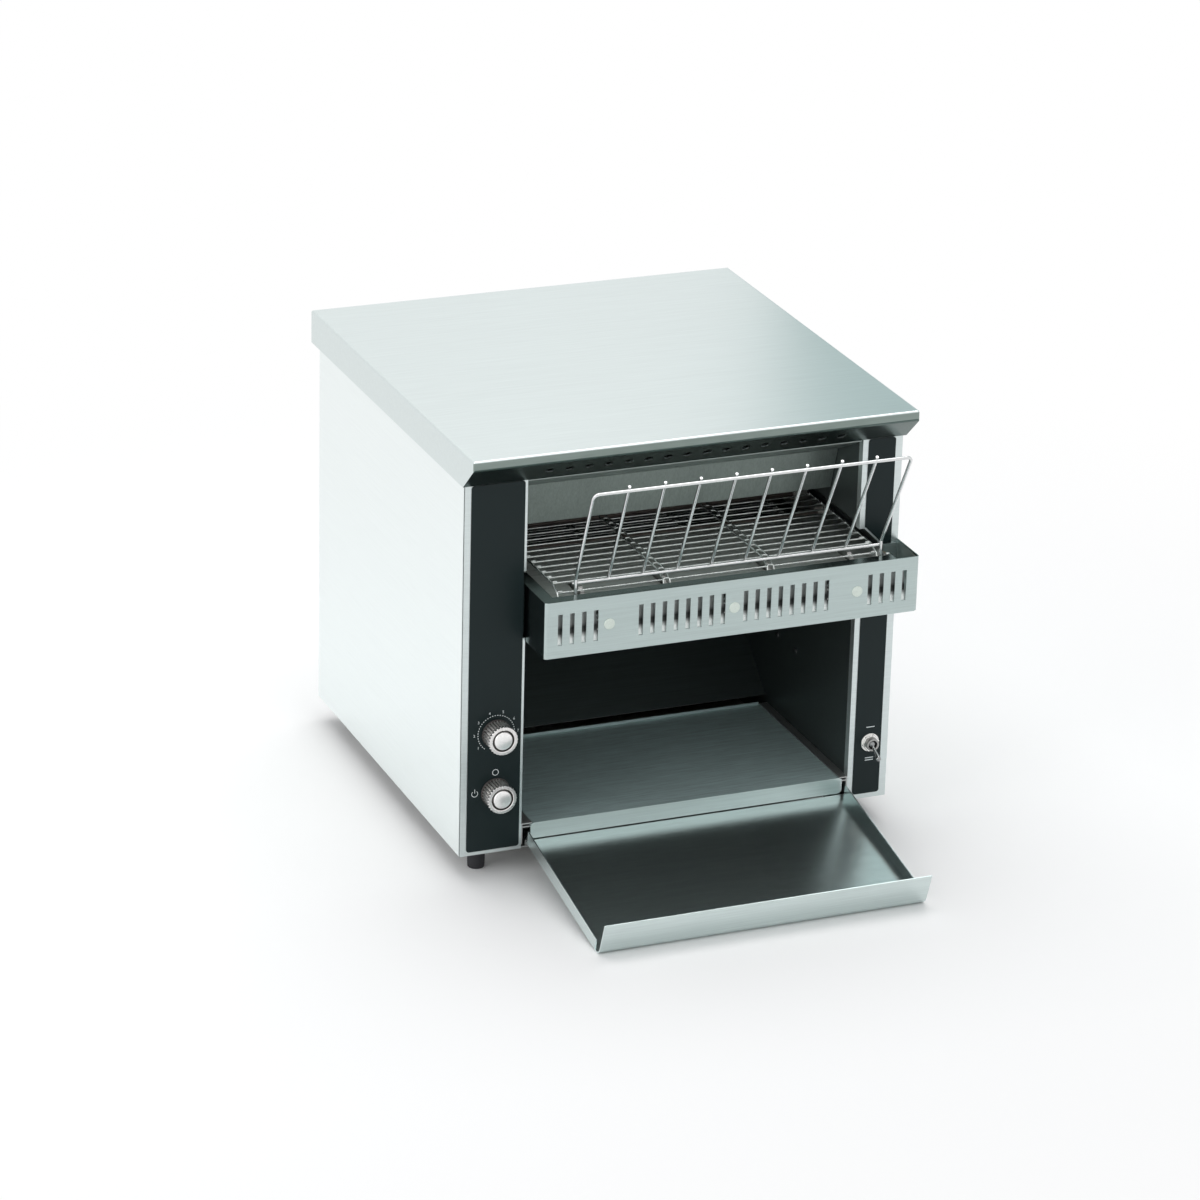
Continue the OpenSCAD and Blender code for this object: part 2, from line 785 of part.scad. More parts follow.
module fan_housing() {
  y = [body_d - sheet - fan_depth, body_d - sheet];
  half = fan_size / 2;
  reach = half - over;
  rib = fan_spoke / 2;
  hub_y = [y[0], y[0] + fan_spoke];
  color("#2b2b2b") place() difference() {
    union() {
      difference() {
        block([fan_at[0] - half, fan_at[0] + half], y, [fan_at[1] - half, fan_at[1] + half]);
        bar_y(fan_at[0], [y[0] - over, y[1] + over], fan_at[1], fan_bore);
      }
      bar_y(fan_at[0], hub_y, fan_at[1], fan_hub);
      block([fan_at[0] - reach, fan_at[0] + reach], hub_y, [fan_at[1] - rib, fan_at[1] + rib]);
      block([fan_at[0] - rib, fan_at[0] + rib], hub_y, [fan_at[1] - reach, fan_at[1] + reach]);
    }
    bar_y(fan_at[0], [y[0] - over, y[1] + over], fan_at[1], fan_shaft + 2 * fit);
  }
}

module fan_rotor() {
  y = [body_d - sheet - fan_depth + fan_spoke + gap, body_d - sheet - fan_gaps[1]];
  reach = fan_bore / 2 - fan_gaps[0];
  color("#3a3a3a") place() {
    union() {
      bar_y(fan_at[0], y, fan_at[1], fan_hub);
      bar_y(fan_at[0], [y[0] - fan_spoke, y[0] + over], fan_at[1], fan_shaft);
      for (k = [0:fan_blades - 1])
        translate([fan_at[0], (y[0] + y[1]) / 2, fan_at[1]]) rotate([0, k * 360 / fan_blades, 0])
          translate([fan_hub / 2 - over, 0, 0]) rotate([blade_pitch, 0, 0])
            translate([0, -fan_blade[1] / 2, -fan_blade[0] / 2])
              cube([reach - fan_hub / 2, fan_blade[1], fan_blade[0]]);
    }
  }
}

// Wire guard over the fan: its wire, rings as shares of its reach, and its spokes
guard_wire = 2.2;
guard_ring_shares = [0.28, 0.52, 0.76, 1];
guard_spokes = [45, 135];
guard_r = 38;
guard_end = 4;

module fan_guard() {
  y = body_d + guard_wire / 2;
  arm = guard_r + guard_end;
  color("silver") place() union() {
    for (share = guard_ring_shares)
      translate([fan_at[0], y, fan_at[1]]) rotate([90, 0, 0])
        rotate_extrude($fn = 64) translate([share * guard_r, 0]) circle(d = guard_wire, $fn = 16);
    for (a = guard_spokes)
      let (v = arm * [cos(a), sin(a)], yb = y + guard_wire - weld_sink)
        rod([fan_at[0] - v[0], yb, fan_at[1] - v[1]], [fan_at[0] + v[0], yb, fan_at[1] + v[1]], guard_wire);
  }
}

// Toast deck and its guides
deck_insets = [8.5, 5.9];
deck_left = open_left + deck_insets[0];
deck_right = open_right - deck_insets[1];
deck_lip_reach = [1.4, 13.5];
deck_lip = [deck_z + deck_lip_reach[0], deck_z - deck_lip_reach[1]];
deck_lip_round = 4;
deck_back_h = 2.4;
guide_grip = 2;
guide_low = 4;

module toast_deck() {
  inset = guide_grip + 2 * gap;
  color("silver") place() union() {
    block([deck_left, deck_right], [-sheet, deck_d], [deck_z - sheet, deck_z]);
    along_y([-sheet, 0], rounded([deck_left, deck_right], [deck_lip[1], deck_lip[0]], deck_lip_round));
    block([deck_left + inset, deck_right - inset], [deck_d - sheet, deck_d],
      [deck_z - sheet, deck_z + deck_back_h]);
  }
}

module deck_guide(wall, edge, s) {
  web = s > 0 ? [wall, wall + sheet] : [wall - sheet, wall];
  grip = s > 0 ? [wall, edge + guide_grip] : [edge - guide_grip, wall];
  y = [gap, deck_d - sheet];
  union() {
    block(web, y, [guide_low, deck_z + gap + sheet]);
    block(grip, y, [deck_z - 2 * sheet - gap, deck_z - sheet - gap]);
    block(grip, y, [deck_z + gap, deck_z + gap + sheet]);
  }
}

module deck_guides() {
  color("gray") place() {
    deck_guide(open_left, deck_left, 1);
    deck_guide(open_right, deck_right, -1);
  }
}

// Front tray: it slopes from under the deck's lip down to the counter
tray_insets = [3.5, 4.3];
tray_left = open_left + tray_insets[0];
tray_right = open_right - tray_insets[1];
tray_back_y = -1.6;
tray_lip_lean = 12;
tray_foot_y = tray_lip_lean - tray_reach;
tray_tongue_z = deck_lip[1] - gap - 2 * sheet + sheet / 2;
tray_tongue = [16, 6];
tray_tilt = atan((tray_tongue_z + foot_h) / (tray_back_y - tray_foot_y));
tray_rail_back = -5;
rail_front_share = 0.86;

module front_tray() {
  path = [[-tray_reach, tray_lip_h - foot_h], [tray_foot_y, -foot_h], [tray_back_y, tray_tongue_z]];
  up = [-sin(tray_tilt), cos(tray_tilt)] * tray_rail_h;
  along = [cos(tray_tilt), sin(tray_tilt)];
  a = path[1] + along * (2 * sheet);
  b = path[2] + along * ((tray_rail_back - tray_back_y) / cos(tray_tilt));
  rail = [a, b, b + up, a + up * rail_front_share];
  color("gainsboro") place() union() {
    along_x([tray_left, tray_right], folded(path, sheet));
    along_x([tray_left, tray_left + sheet], rail);
    along_x([tray_right - sheet, tray_right], rail);
    for (x = [tray_left + 2 * sheet, tray_right - 2 * sheet - tray_tongue[0]])
      block([x, x + tray_tongue[0]], [tray_back_y - sheet, tray_tongue[1]],
        [tray_tongue_z, tray_tongue_z + sheet]);
  }
}

// Shelf bracket in front of the belt's nose
bracket_left = open_left + gap;
bracket_right = right_x;
bracket_mid = (bracket_left + bracket_right) / 2;
bracket_drop = 3.5;
bracket_top = belt_z - bracket_drop;
bracket_z = [bracket_top - bracket_h, bracket_top];
bracket_flange = 12;
bracket_tail = 28;
side_flange = 11;
flange_end = 22;
slot_drop = 25.8;
slot_mid_z = bracket_top - slot_drop;
inner_slots = [8, 10.6];
outer_slots = [4, 129.2];
rivet_step = 116.85;
rivet_hole = 4.2;
rivet_head = [10, 0.9];
bracket_foot_w = 15;
bracket_screw_inset = 10;
bracket_screw_drops = [38, 14];
bracket_foot_drops = [49, 3];
bracket_screw_x = bracket_right - bracket_screw_inset;
bracket_screw_zs = [for (drop = bracket_screw_drops) bracket_top - drop];
bracket_foot_z = [for (drop = bracket_foot_drops) bracket_top - drop];

module slot_group(count, first, y) {
  for (i = [0:count - 1], s = [-1, 1])
    let (x = bracket_mid + s * (first + i * slot_pitch))
      block([x - slot_w / 2, x + slot_w / 2], y, [slot_mid_z - slot_h / 2, slot_mid_z + slot_h / 2]);
}

module shelf_bracket() {
  front = [-bracket_reach, -bracket_reach + sheet];
  cut = [front[0] - over, front[1] + over];
  flange_z = [bracket_top - sheet, bracket_top];
  foot_y = [-panel_t - sheet, -panel_t];
  color("lightgray") place() difference() {
    union() {
      block([bracket_left, bracket_right], front, bracket_z);
      block([bracket_left, bracket_right - flange_end], [front[0], front[0] + bracket_flange], flange_z);
      block([bracket_left, bracket_left + sheet], [front[0], bracket_tail], bracket_z);
      block([bracket_left, bracket_left + side_flange], [front[0], bracket_tail], flange_z);
      block([bracket_right - sheet, bracket_right], [front[0], 0], bracket_z);
      block([bracket_right - bracket_foot_w, bracket_right], foot_y, bracket_foot_z);
    }
    slot_group(inner_slots[0], inner_slots[1], cut);
    slot_group(outer_slots[0], outer_slots[1], cut);
    for (i = [-1:1]) bar_y(bracket_mid + i * rivet_step, cut, slot_mid_z, rivet_hole);
    for (z = bracket_screw_zs)
      bar_y(bracket_screw_x, [foot_y[0] - over, foot_y[1] + over], z, small_screw + 2 * screw_fit);
  }
}

module bracket_rivets() {
  front = -bracket_reach;
  color("silver") place() for (i = [-1:1])
    let (x = bracket_mid + i * rivet_step)
      union() {
        bar_y(x, [front - rivet_head[1], front], slot_mid_z, rivet_head[0]);
        bar_y(x, [front - rivet_head[1], front + sheet + over], slot_mid_z, rivet_hole - 2 * fit);
      }
}

// Loading rack: corners of its bent wire, the leaning bars, and the clips that its feet stand in
rack_bar_y = -28.4;
rack_bar_lift = 5.3;
rack_bar_z = belt_z + rack_bar_lift;
rack_low_insets = [33.5, 6.7];
rack_high_insets = [28.5, 9.2];
rack_low_x = [open_left + rack_low_insets[0], open_right + rack_low_insets[1]];
rack_high_x = [open_left + rack_high_insets[0], open_right + rack_high_insets[1]];
weld_sink = 0.5;
rack_bar_end = 2.5;
rack_foot_y = rack_bar_y - rack_wire + weld_sink;
rack_foot_h = 7;
rack_foot_drop = 8.8;
rack_foot_z = bracket_top - rack_foot_drop;
clip_w = 8;
clip_floor = 1.2;
rack_nub = 4;

module wire_rack() {
  lean = [-rack_lean, rack_rise];
  n = [rack_rise, rack_lean] / norm(lean) * (rack_wire - weld_sink);
  bend = (rack_bar_y - rack_foot_y) / rack_lean;
  top = [rack_bar_y - rack_lean, rack_bar_z + rack_rise];
  over_share = rack_nub / norm(lean);
  low = [for (s = [0, 1])
    let (x = rack_low_x[s] + bend * (rack_high_x[s] - rack_low_x[s]))
      [x, rack_foot_y, rack_bar_z + bend * rack_rise]];
  high = [for (s = [0, 1]) [rack_high_x[s], top[0], top[1]]];
  color("silver") place() union() {
    for (s = [0, 1]) {
      rod([low[s][0], rack_foot_y, rack_foot_z], low[s], rack_wire);
      translate(low[s]) sphere(d = rack_wire + 2 * fit);
      rod(low[s], high[s], rack_wire);
      translate(high[s]) sphere(d = rack_wire + 2 * fit);
    }
    rod(high[0], high[1], rack_wire);
    bar_x([low[0][0] - rack_bar_end, low[1][0] + rack_bar_end], rack_bar_y, rack_bar_z, rack_wire);
    for (k = [1:rack_bars])
      let (f = k / (rack_bars + 1),
        xa = rack_low_x[0] + f * (rack_low_x[1] - rack_low_x[0]),
        xb = rack_high_x[0] + f * (rack_high_x[1] - rack_high_x[0]),
        a = [xa, rack_bar_y + n[0], rack_bar_z + n[1]],
        b = [xb, top[0] + n[0], top[1] + n[1]])
        rod(a - (b - a) * over_share / 2, b + (b - a) * over_share, rack_wire);
  }
}

module rack_clips() {
  back = -bracket_reach + sheet;
  color("darkgray") place() for (s = [0, 1])
    let (x = rack_low_x[s] + (rack_bar_y - rack_foot_y) / rack_lean * (rack_high_x[s] - rack_low_x[s]))
      difference() {
        block([x - clip_w / 2, x + clip_w / 2], [back, rack_foot_y + sheet],
          [rack_foot_z - gap - clip_floor, rack_foot_z + rack_foot_h - gap]);
        bar_z(x, rack_foot_y, [rack_foot_z - gap, rack_foot_z + rack_foot_h], rack_wire + 2 * gap);
      }
}

// Knobs: fluted grips on round skirts, with a plate on the face
knob_base = gap;
knob_flutes = 22;
flute_dia = 2.2;
flute_lift = 0.45;
skirt_t = 2;
cap_dia = 22;
cap_t = 3;
notch = [1.6, 4, 1.5];
knob_bore_share = 0.6;

module knob(z) {
  y = [-panel_t - knob_h, -panel_t - knob_base];
  flute_r = knob_dia / 2 + flute_lift;
  color("#8c8681") place() difference() {
    bar_y(knob_x, [y[0] + cap_t, y[1]], z, knob_dia);
    for (k = [0:knob_flutes - 1])
      let (a = k * 360 / knob_flutes)
        bar_y(knob_x + flute_r * cos(a), [y[0], y[1] - skirt_t], z + flute_r * sin(a), flute_dia);
    bar_y(knob_x, [y[1] - knob_bore_share * knob_h, y[1] + over], z, knob_shaft + 2 * fit);
  }
}

module knob_cap(z, pointer) {
  y = [-panel_t - knob_h, -panel_t - knob_h + cap_t];
  color("lightgray") place() translate([knob_x, 0, z]) rotate([0, pointer, 0]) difference() {
    bar_y(0, y, 0, cap_dia);
    block([-notch[0] / 2, notch[0] / 2], [y[0] - over, y[0] + notch[2]],
      [cap_dia / 2 - notch[1], cap_dia / 2 + over]);
  }
}

module speed_knob() {
  knob(speed_z);
}

module power_knob() {
  knob(power_z);
}

module speed_knob_cap() {
  knob_cap(speed_z, 0);
}

module power_knob_cap() {
  knob_cap(power_z, 0);
}

// Shaft of a knob, in the bushing of its control
module knob_spindle(z, depth) {
  tip = -panel_t - knob_base - knob_bore_share * knob_h + gap;
  color("gray") place() bar_y(knob_x, [tip, sheet + depth - 2 * sheet], z, knob_shaft);
}

module control_body(size, depth, z, round_body) {
  y = [sheet, sheet + depth];
  color("steelblue") place() difference() {
    union() {
      if (round_body) bar_y(knob_x, y, z, size);
      else block([knob_x - size / 2, knob_x + size / 2], y, [z - size / 2, z + size / 2]);
      bar_y(knob_x, [-panel_t, y[1]], z, bushing_dia);
    }
    bar_y(knob_x, [-panel_t - over, y[1] - 2 * sheet + gap], z, knob_shaft + 2 * fit);
  }
}

pot_size = [17, 12];
switch_size = [26, 22];

module speed_potentiometer() {
  control_body(pot_size[0], pot_size[1], speed_z, true);
}

module rotary_switch() {
  control_body(switch_size[0], switch_size[1], power_z, false);
}

module speed_spindle() {
  knob_spindle(speed_z, pot_size[1]);
}

module power_spindle() {
  knob_spindle(power_z, switch_size[1]);
}

// Toggle switch: body, nut and lever, whose ball turns on a pin inside the bushing
toggle_body_size = [13, 24, 20];
toggle_bushing = 11.8;
toggle_bore = 8.4;
toggle_front = 8;
toggle_pivot_y = -4.2;
toggle_ball = 7.8;
toggle_pin = [1.6, 11];
toggle_lever_len = 17.2;
toggle_lever_dia = [2.8, 5];
toggle_throw = 28;
toggle_nut_t = 2.4;
toggle_ring = [17.5, 0.8];

module toggle_body() {
  s = toggle_body_size;
  color("#30363a") place() difference() {
    union() {
      block([toggle_x - s[0] / 2, toggle_x + s[0] / 2], [sheet, sheet + s[1]],
        [toggle_z - s[2] / 2, toggle_z + s[2] / 2]);
      bar_y(toggle_x, [-toggle_front, sheet + over], toggle_z, toggle_bushing);
    }
    bar_y(toggle_x, [-toggle_front - over, 0], toggle_z, toggle_bore);
    half = toggle_pin[1] / 2 + screw_fit;
    bar_x([toggle_x - half, toggle_x + half], toggle_pivot_y, toggle_z, toggle_pin[0] + 2 * fit);
  }
}

module toggle_nut() {
  ring = [-panel_t - toggle_ring[1], -panel_t];
  color("silver") place() difference() {
    union() {
      bar_y(toggle_x, ring, toggle_z, toggle_ring[0]);
      translate([toggle_x, ring[0], toggle_z]) rotate([90, 0, 0])
        cylinder(d = toggle_nut_af / cos(30), h = toggle_nut_t, $fn = 6);
    }
    bar_y(toggle_x, [ring[0] - toggle_nut_t - over, over], toggle_z, toggle_bushing + 2 * fit);
  }
}

module toggle_lever() {
  color("silver") place() translate([toggle_x, toggle_pivot_y, toggle_z])
    rotate([toggle_throw, 0, 0]) union() {
      sphere(d = toggle_ball);
      rotate([0, 90, 0]) cylinder(d = toggle_pin[0], h = toggle_pin[1], center = true);
      rotate([90, 0, 0]) cylinder(d = toggle_lever_dia[0], h = toggle_lever_len);
      translate([0, -toggle_lever_len, 0]) sphere(d = toggle_lever_dia[1]);
    }
}

// Electrical pieces in the compartments
board_size = [90, 80, 1.6];
board_drop = 82.2;
board_at = [85, body_h - board_drop];
board_standoff = 5;
standoff_share = 0.44;
// Size of each component: along Y, along Z and its height off the board
board_parts = [[30, 26, 20], [14, 30, 14], [18, 18, 16]];
board_part_shares = [[-0.25, 0.2], [0.1, 0.22], [0.3, -0.2]];

module control_board() {
  x = open_left - sheet - board_standoff;
  color("darkgreen") place() union() {
    block([x - board_size[2], x], [board_at[0] - board_size[0] / 2, board_at[0] + board_size[0] / 2],
      [board_at[1] - board_size[1] / 2, board_at[1] + board_size[1] / 2]);
    for (s = [-standoff_share, standoff_share], t = [-standoff_share, standoff_share])
      bar_x([x - board_size[2], open_left - sheet], board_at[0] + s * board_size[0],
        board_at[1] + t * board_size[1], board_standoff);
    for (i = [0:len(board_parts) - 1])
      let (p = board_parts[i], q = board_part_shares[i],
        y = board_at[0] + q[0] * board_size[0], z = board_at[1] + q[1] * board_size[1])
        block([x - board_size[2] - p[2], x], [y - p[0] / 2, y + p[0] / 2], [z - p[1] / 2, z + p[1] / 2]);
  }
}

// Contactor held by the two screws in the right wall of the cavity
wall_screw_ys = [120.6, 161];
wall_screw_z = 98;
contactor_size = [26, 58, 38];

module contactor() {
  s = contactor_size;
  mid = (wall_screw_ys[0] + wall_screw_ys[1]) / 2;
  x0 = open_right + sheet;
  color("#3b4248") place() difference() {
    block([x0, x0 + s[0]], [mid - s[1] / 2, mid + s[1] / 2],
      [wall_screw_z - s[2] / 2, wall_screw_z + s[2] / 2]);
    for (y = wall_screw_ys) bar_x([x0 - over, x0 + s[0] / 2], y, wall_screw_z, small_screw + 2 * fit);
  }
}

// Cable gland in the rear panel, with its locknut inside
gland_nut = [22, 5];
gland_dome = [18, 8];
gland_bore = 8;

module cable_gland() {
  color("#2b2b2b") place() translate([gland_at[0], body_d, gland_at[1]]) difference() {
    union() {
      for (y = [gland_nut[1], -sheet])
        translate([0, y, 0]) rotate([90, 0, 0])
          cylinder(d = gland_nut[0] / cos(30), h = gland_nut[1], $fn = 6);
      rotate([-90, 0, 0]) cylinder(d = gland_dome[0], h = gland_nut[1] + gland_dome[1]);
      bar_y(0, [-sheet - gland_nut[1], over], 0, gland_thread);
    }
    bar_y(0, [-sheet - gland_nut[1] - over, gland_nut[1] + gland_dome[1] + over], 0, gland_bore);
  }
}

// Feet and screws

module feet() {
  color("#1f2224") place() for (s = [-1, 1], y = foot_ys)
    translate([s * (right_x - foot_inset), y, -foot_h]) difference() {
      cylinder(d1 = foot_dia - foot_waist, d2 = foot_dia, h = foot_h);
      translate([0, 0, foot_h / 2]) cylinder(d = foot_screw + 2 * fit, h = foot_h);
    }
}

module foot_screws() {
  seat = 2 * sheet;
  color("silver") place() for (s = [-1, 1], y = foot_ys)
    translate([s * (right_x - foot_inset), y, 0]) union() {
      translate([0, 0, sheet]) cylinder(d = foot_screw_head[0], h = foot_screw_head[1]);
      translate([0, 0, -foot_h / 2 + gap]) cylinder(d = foot_screw, h = foot_h / 2 + seat);
    }
}

screw_head = [6, 1.8];
screw_len = 8;

// Screw whose head stands on a face: the face's place and the way that the head points
module screw(at, turn) {
  translate(at) rotate(turn) union() {
    cylinder(d = screw_head[0], h = screw_head[1]);
    translate([0, 0, -screw_len]) cylinder(d = small_screw, h = screw_len + over);
  }
}

module panel_screws() {
  color("silver") place() {
    for (y = wall_screw_ys) screw([open_right, y, wall_screw_z], [0, -90, 0]);
    for (z = bracket_screw_zs) screw([bracket_screw_x, -panel_t - sheet, z], [90, 0, 0]);
    for (z = rear_screw_zs, s = [-1, 1])
      screw([s * (right_x - panel_flange / 2 - sheet), body_d, z], [-90, 0, 0]);
  }
}

left_side_panel();
right_side_panel();
top_cover();
rear_panel();
base_pan();
left_bezel();
right_bezel();
left_control_panel();
right_control_panel();
left_chamber_wall();
right_chamber_wall();
toast_chute();
crumb_shield();
reflector_front();
reflector_ceiling();
heat_shield();
heating_elements();
heater_holders();
conveyor_belt();
drive_sprockets();
nose_sprockets();
drive_shaft();
nose_shaft();
conveyor_plates();
belt_support_plate();
conveyor_spacers();
shaft_bearings();
driven_chain_sprocket();
motor_chain_sprocket();
drive_chain();
gearmotor();
fan_housing();
fan_rotor();
fan_guard();
toast_deck();
deck_guides();
front_tray();
shelf_bracket();
bracket_rivets();
wire_rack();
rack_clips();
speed_knob();
power_knob();
speed_knob_cap();
power_knob_cap();
speed_potentiometer();
rotary_switch();
speed_spindle();
power_spindle();
toggle_body();
toggle_nut();
toggle_lever();
control_board();
contactor();
cable_gland();
feet();
foot_screws();
panel_screws();
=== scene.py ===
"""Looks of a countertop conveyor toaster, laid out as an add-on and run as a script."""

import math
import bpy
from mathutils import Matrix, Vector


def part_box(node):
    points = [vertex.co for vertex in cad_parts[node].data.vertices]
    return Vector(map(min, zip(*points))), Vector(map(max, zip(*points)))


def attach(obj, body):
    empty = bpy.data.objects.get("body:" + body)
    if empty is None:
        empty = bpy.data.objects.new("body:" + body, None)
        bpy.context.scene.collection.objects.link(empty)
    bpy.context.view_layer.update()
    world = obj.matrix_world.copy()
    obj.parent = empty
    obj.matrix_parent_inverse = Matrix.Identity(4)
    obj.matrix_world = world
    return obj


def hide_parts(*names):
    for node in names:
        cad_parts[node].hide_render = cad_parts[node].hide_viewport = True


bl_info = {
    "name": "Conveyor toaster",
    "version": (1, 0, 0),
    "blender": (4, 5, 0),
    "location": "3D view > Sidebar > Toaster",
    "description": "Dresses the conveyor toaster's frame with folded steel, wire, knobs and finishes",
    "category": "Object",
}

import bmesh
import bpy
from bpy.props import FloatProperty, FloatVectorProperty, IntProperty, PointerProperty
from mathutils import Matrix, Vector

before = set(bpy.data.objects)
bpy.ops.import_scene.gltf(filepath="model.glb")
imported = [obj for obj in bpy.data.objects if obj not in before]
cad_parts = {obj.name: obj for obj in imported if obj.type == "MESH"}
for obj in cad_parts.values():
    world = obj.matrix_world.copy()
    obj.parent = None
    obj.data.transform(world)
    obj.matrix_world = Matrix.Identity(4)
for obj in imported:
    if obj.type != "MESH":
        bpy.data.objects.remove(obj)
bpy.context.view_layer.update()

MM = 0.001
# Middle of the depth and height of the feet, by which the solids are moved
MID_Y = 103.9
FOOT = 23.0

# Millimetres: the folded sheet's thickness, the rear panel's face, the sides of the front opening,
# the slots' feet below the bracket's top, and the middles of the knobs and the toggle across and up
SHEET = 1.2
REAR_FACE = 378.8
OPENING = (-147.5, 166.8)
SLOT_DROP = 40.0
KNOBS = {"speed_knob": (-173.0, 114.0), "power_knob": (-173.0, 58.5)}
TOGGLE = (187.0, 54.6)


def spot(x, y, z):
    """A place given in millimetres from the body's front plane and base."""
    return Vector((x, y - MID_Y, z + FOOT)) * MM


def from_front(place):
    """Turns a place back into millimetres from the body's front plane and base."""
    return place[0] / MM, place[1] / MM + MID_Y, place[2] / MM - FOOT


def node_box(name):
    """Corners of a CAD node, in millimetres from the body's front plane and base."""
    low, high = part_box(name)
    return from_front(low), from_front(high)


# Sizes and colours that a user would change

COLOUR = {"subtype": "COLOR", "size": 3, "min": 0, "max": 1}


class MetalSettings(bpy.types.PropertyGroup):
    steel: FloatVectorProperty(
        name="Steel", description="Colour of the satin stainless sheet",
        default=(0.67, 0.735, 0.73), **COLOUR)
    steel_roughness: FloatProperty(
        name="Steel roughness", description="Roughness of the satin stainless sheet",
        subtype="FACTOR", min=0.05, max=0.8, default=0.30)
    dark: FloatVectorProperty(
        name="Inner sheet", description="Colour of the darkened sheet inside the body",
        default=(0.060, 0.074, 0.072), **COLOUR)
    fold_radius: FloatProperty(
        name="Fold radius", description="Outer radius of the folds in the sheet",
        unit="LENGTH", min=0.0005, max=0.006, default=0.0022)
    edge_radius: FloatProperty(
        name="Edge radius", description="Radius of the deburred edges of the sheet",
        unit="LENGTH", min=0.00005, max=0.001, default=0.0003)


class WireSettings(bpy.types.PropertyGroup):
    belt_wire: FloatProperty(
        name="Belt wire", description="Thickness of the belt's wire",
        unit="LENGTH", min=0.0008, max=0.0025, default=0.0016)
    rack_wire: FloatProperty(
        name="Rack wire", description="Thickness of the rack's wire",
        unit="LENGTH", min=0.002, max=0.004, default=0.003)
    bend_radius: FloatProperty(
        name="Rack bends", description="Radius of the rack's bent corners",
        unit="LENGTH", min=0.003, max=0.02, default=0.005)
    wire_colour: FloatVectorProperty(
        name="Wire", description="Colour of the bright wire", default=(0.78, 0.78, 0.76), **COLOUR)


class ControlSettings(bpy.types.PropertyGroup):
    panel: FloatVectorProperty(
        name="Panel", description="Colour of the printed control panels",
        default=(0.007, 0.016, 0.017), **COLOUR)
    print_colour: FloatVectorProperty(
        name="Print", description="Colour of the printed marks", default=(0.78, 0.84, 0.84), **COLOUR)
    grip: FloatVectorProperty(
        name="Grip", description="Colour of the knobs' fluted grips", default=(0.82, 0.80, 0.78), **COLOUR)
    flutes: IntProperty(
        name="Flutes", description="Number of flutes round a knob", min=12, max=60, default=28)


class StageSettings(bpy.types.PropertyGroup):
    floor: FloatVectorProperty(
        name="Floor", description="Colour of the pale floor", default=(0.97, 0.955, 0.945), **COLOUR)
    key_power: FloatProperty(
        name="Overhead light", description="Power of the overhead softbox in watts",
        min=0, max=500, default=34)
    fill_power: FloatProperty(
        name="Side light", description="Power of the softbox at the left in watts",
        min=0, max=500, default=16)


# Node trees


def feed(tree, target, inputs):
    """Gives a node's inputs plain values or other nodes' outputs."""
    for key, value in inputs.items():
        if isinstance(value, bpy.types.NodeSocket):
            tree.links.new(value, target.inputs[key])
        else:
            target.inputs[key].default_value = value


def adjust(target, **settings):
    for name, value in settings.items():
        setattr(target, name, value)
    return target


def add_node(tree, kind, inputs=None, **settings):
    """A new node; a kind without a prefix takes the one of its tree."""
    if "Node" not in kind:
        kind = tree.bl_idname.replace("Tree", kind)
    made = adjust(tree.nodes.new(kind), **settings)
    feed(tree, made, inputs or {})
    return made


def out_of(tree, kind, inputs=None, output=0, **settings):
    """One output of a new node."""
    return add_node(tree, kind, inputs, **settings).outputs[output]


def new_tree(name, kind, inputs, outputs):
    """A tree with named sockets, the outputs of its input node, and its output node."""
    tree = bpy.data.node_groups.new(name, kind)
    for way, sockets in (("INPUT", inputs), ("OUTPUT", outputs)):
        for label, sort, *default in sockets:
            made = tree.interface.new_socket(label, in_out=way, socket_type="NodeSocket" + sort)
            if default:
                made.default_value = default[0]
    return tree, tree.nodes.new("NodeGroupInput").outputs, tree.nodes.new("NodeGroupOutput")


def built_once(build):
    """The tree that a function builds, under the function's own name."""
    name = build.__name__.replace("_", " ").capitalize()
    return bpy.data.node_groups.get(name) or build(name)


# Shader groups and finishes


def brushed_grain(name):
    """Fine streaks drawn out along one direction, with broad patches under them."""
    tree, given, out = new_tree(
        name, "ShaderNodeTree",
        [("Stretch", "Vector", (4.0, 260.0, 260.0)), ("Patch size", "Float", 7.0)],
        [("Streaks", "Float"), ("Patches", "Float"), ("Height", "Float")])
    place = out_of(tree, "TexCoord", output="Object")
    drawn = out_of(tree, "VectorMath", {0: place, 1: given["Stretch"]}, operation="MULTIPLY")
    streak = out_of(tree, "TexNoise",
                    {"Vector": drawn, "Scale": 1.0, "Detail": 4.0, "Roughness": 0.65})
    fine = out_of(tree, "TexNoise", {"Vector": drawn, "Scale": 4.0, "Detail": 2.0})
    patch = out_of(tree, "TexNoise",
                   {"Vector": place, "Scale": given["Patch size"], "Detail": 1.0})
    both = out_of(tree, "Math", {0: streak, 1: fine}, operation="ADD")
    spread = out_of(tree, "MapRange", {"Value": both, "From Min": 0.7, "From Max": 1.3})
    feed(tree, out, {"Streaks": spread, "Patches": patch, "Height": both})
    return tree


def moulded_grain(name):
    """Small grains for moulded plastic, paint and rubber."""
    tree, given, out = new_tree(name, "ShaderNodeTree", [("Grain size", "Float", 900.0)],
                                [("Grain", "Float"), ("Cloud", "Float")])
    place = out_of(tree, "TexCoord", output="Object")
    grain = out_of(tree, "TexVoronoi", {"Vector": place, "Scale": given["Grain size"]},
                   feature="SMOOTH_F1")
    cloud = out_of(tree, "TexNoise", {"Vector": place, "Scale": 24.0, "Detail": 4.0})
    feed(tree, out, {"Grain": grain, "Cloud": cloud})
    return tree


def blank(name):
    """A new material, its tree and its shader."""
    mat = bpy.data.materials.new(name)
    mat.use_nodes = True
    return mat, mat.node_tree, mat.node_tree.nodes["Principled BSDF"]


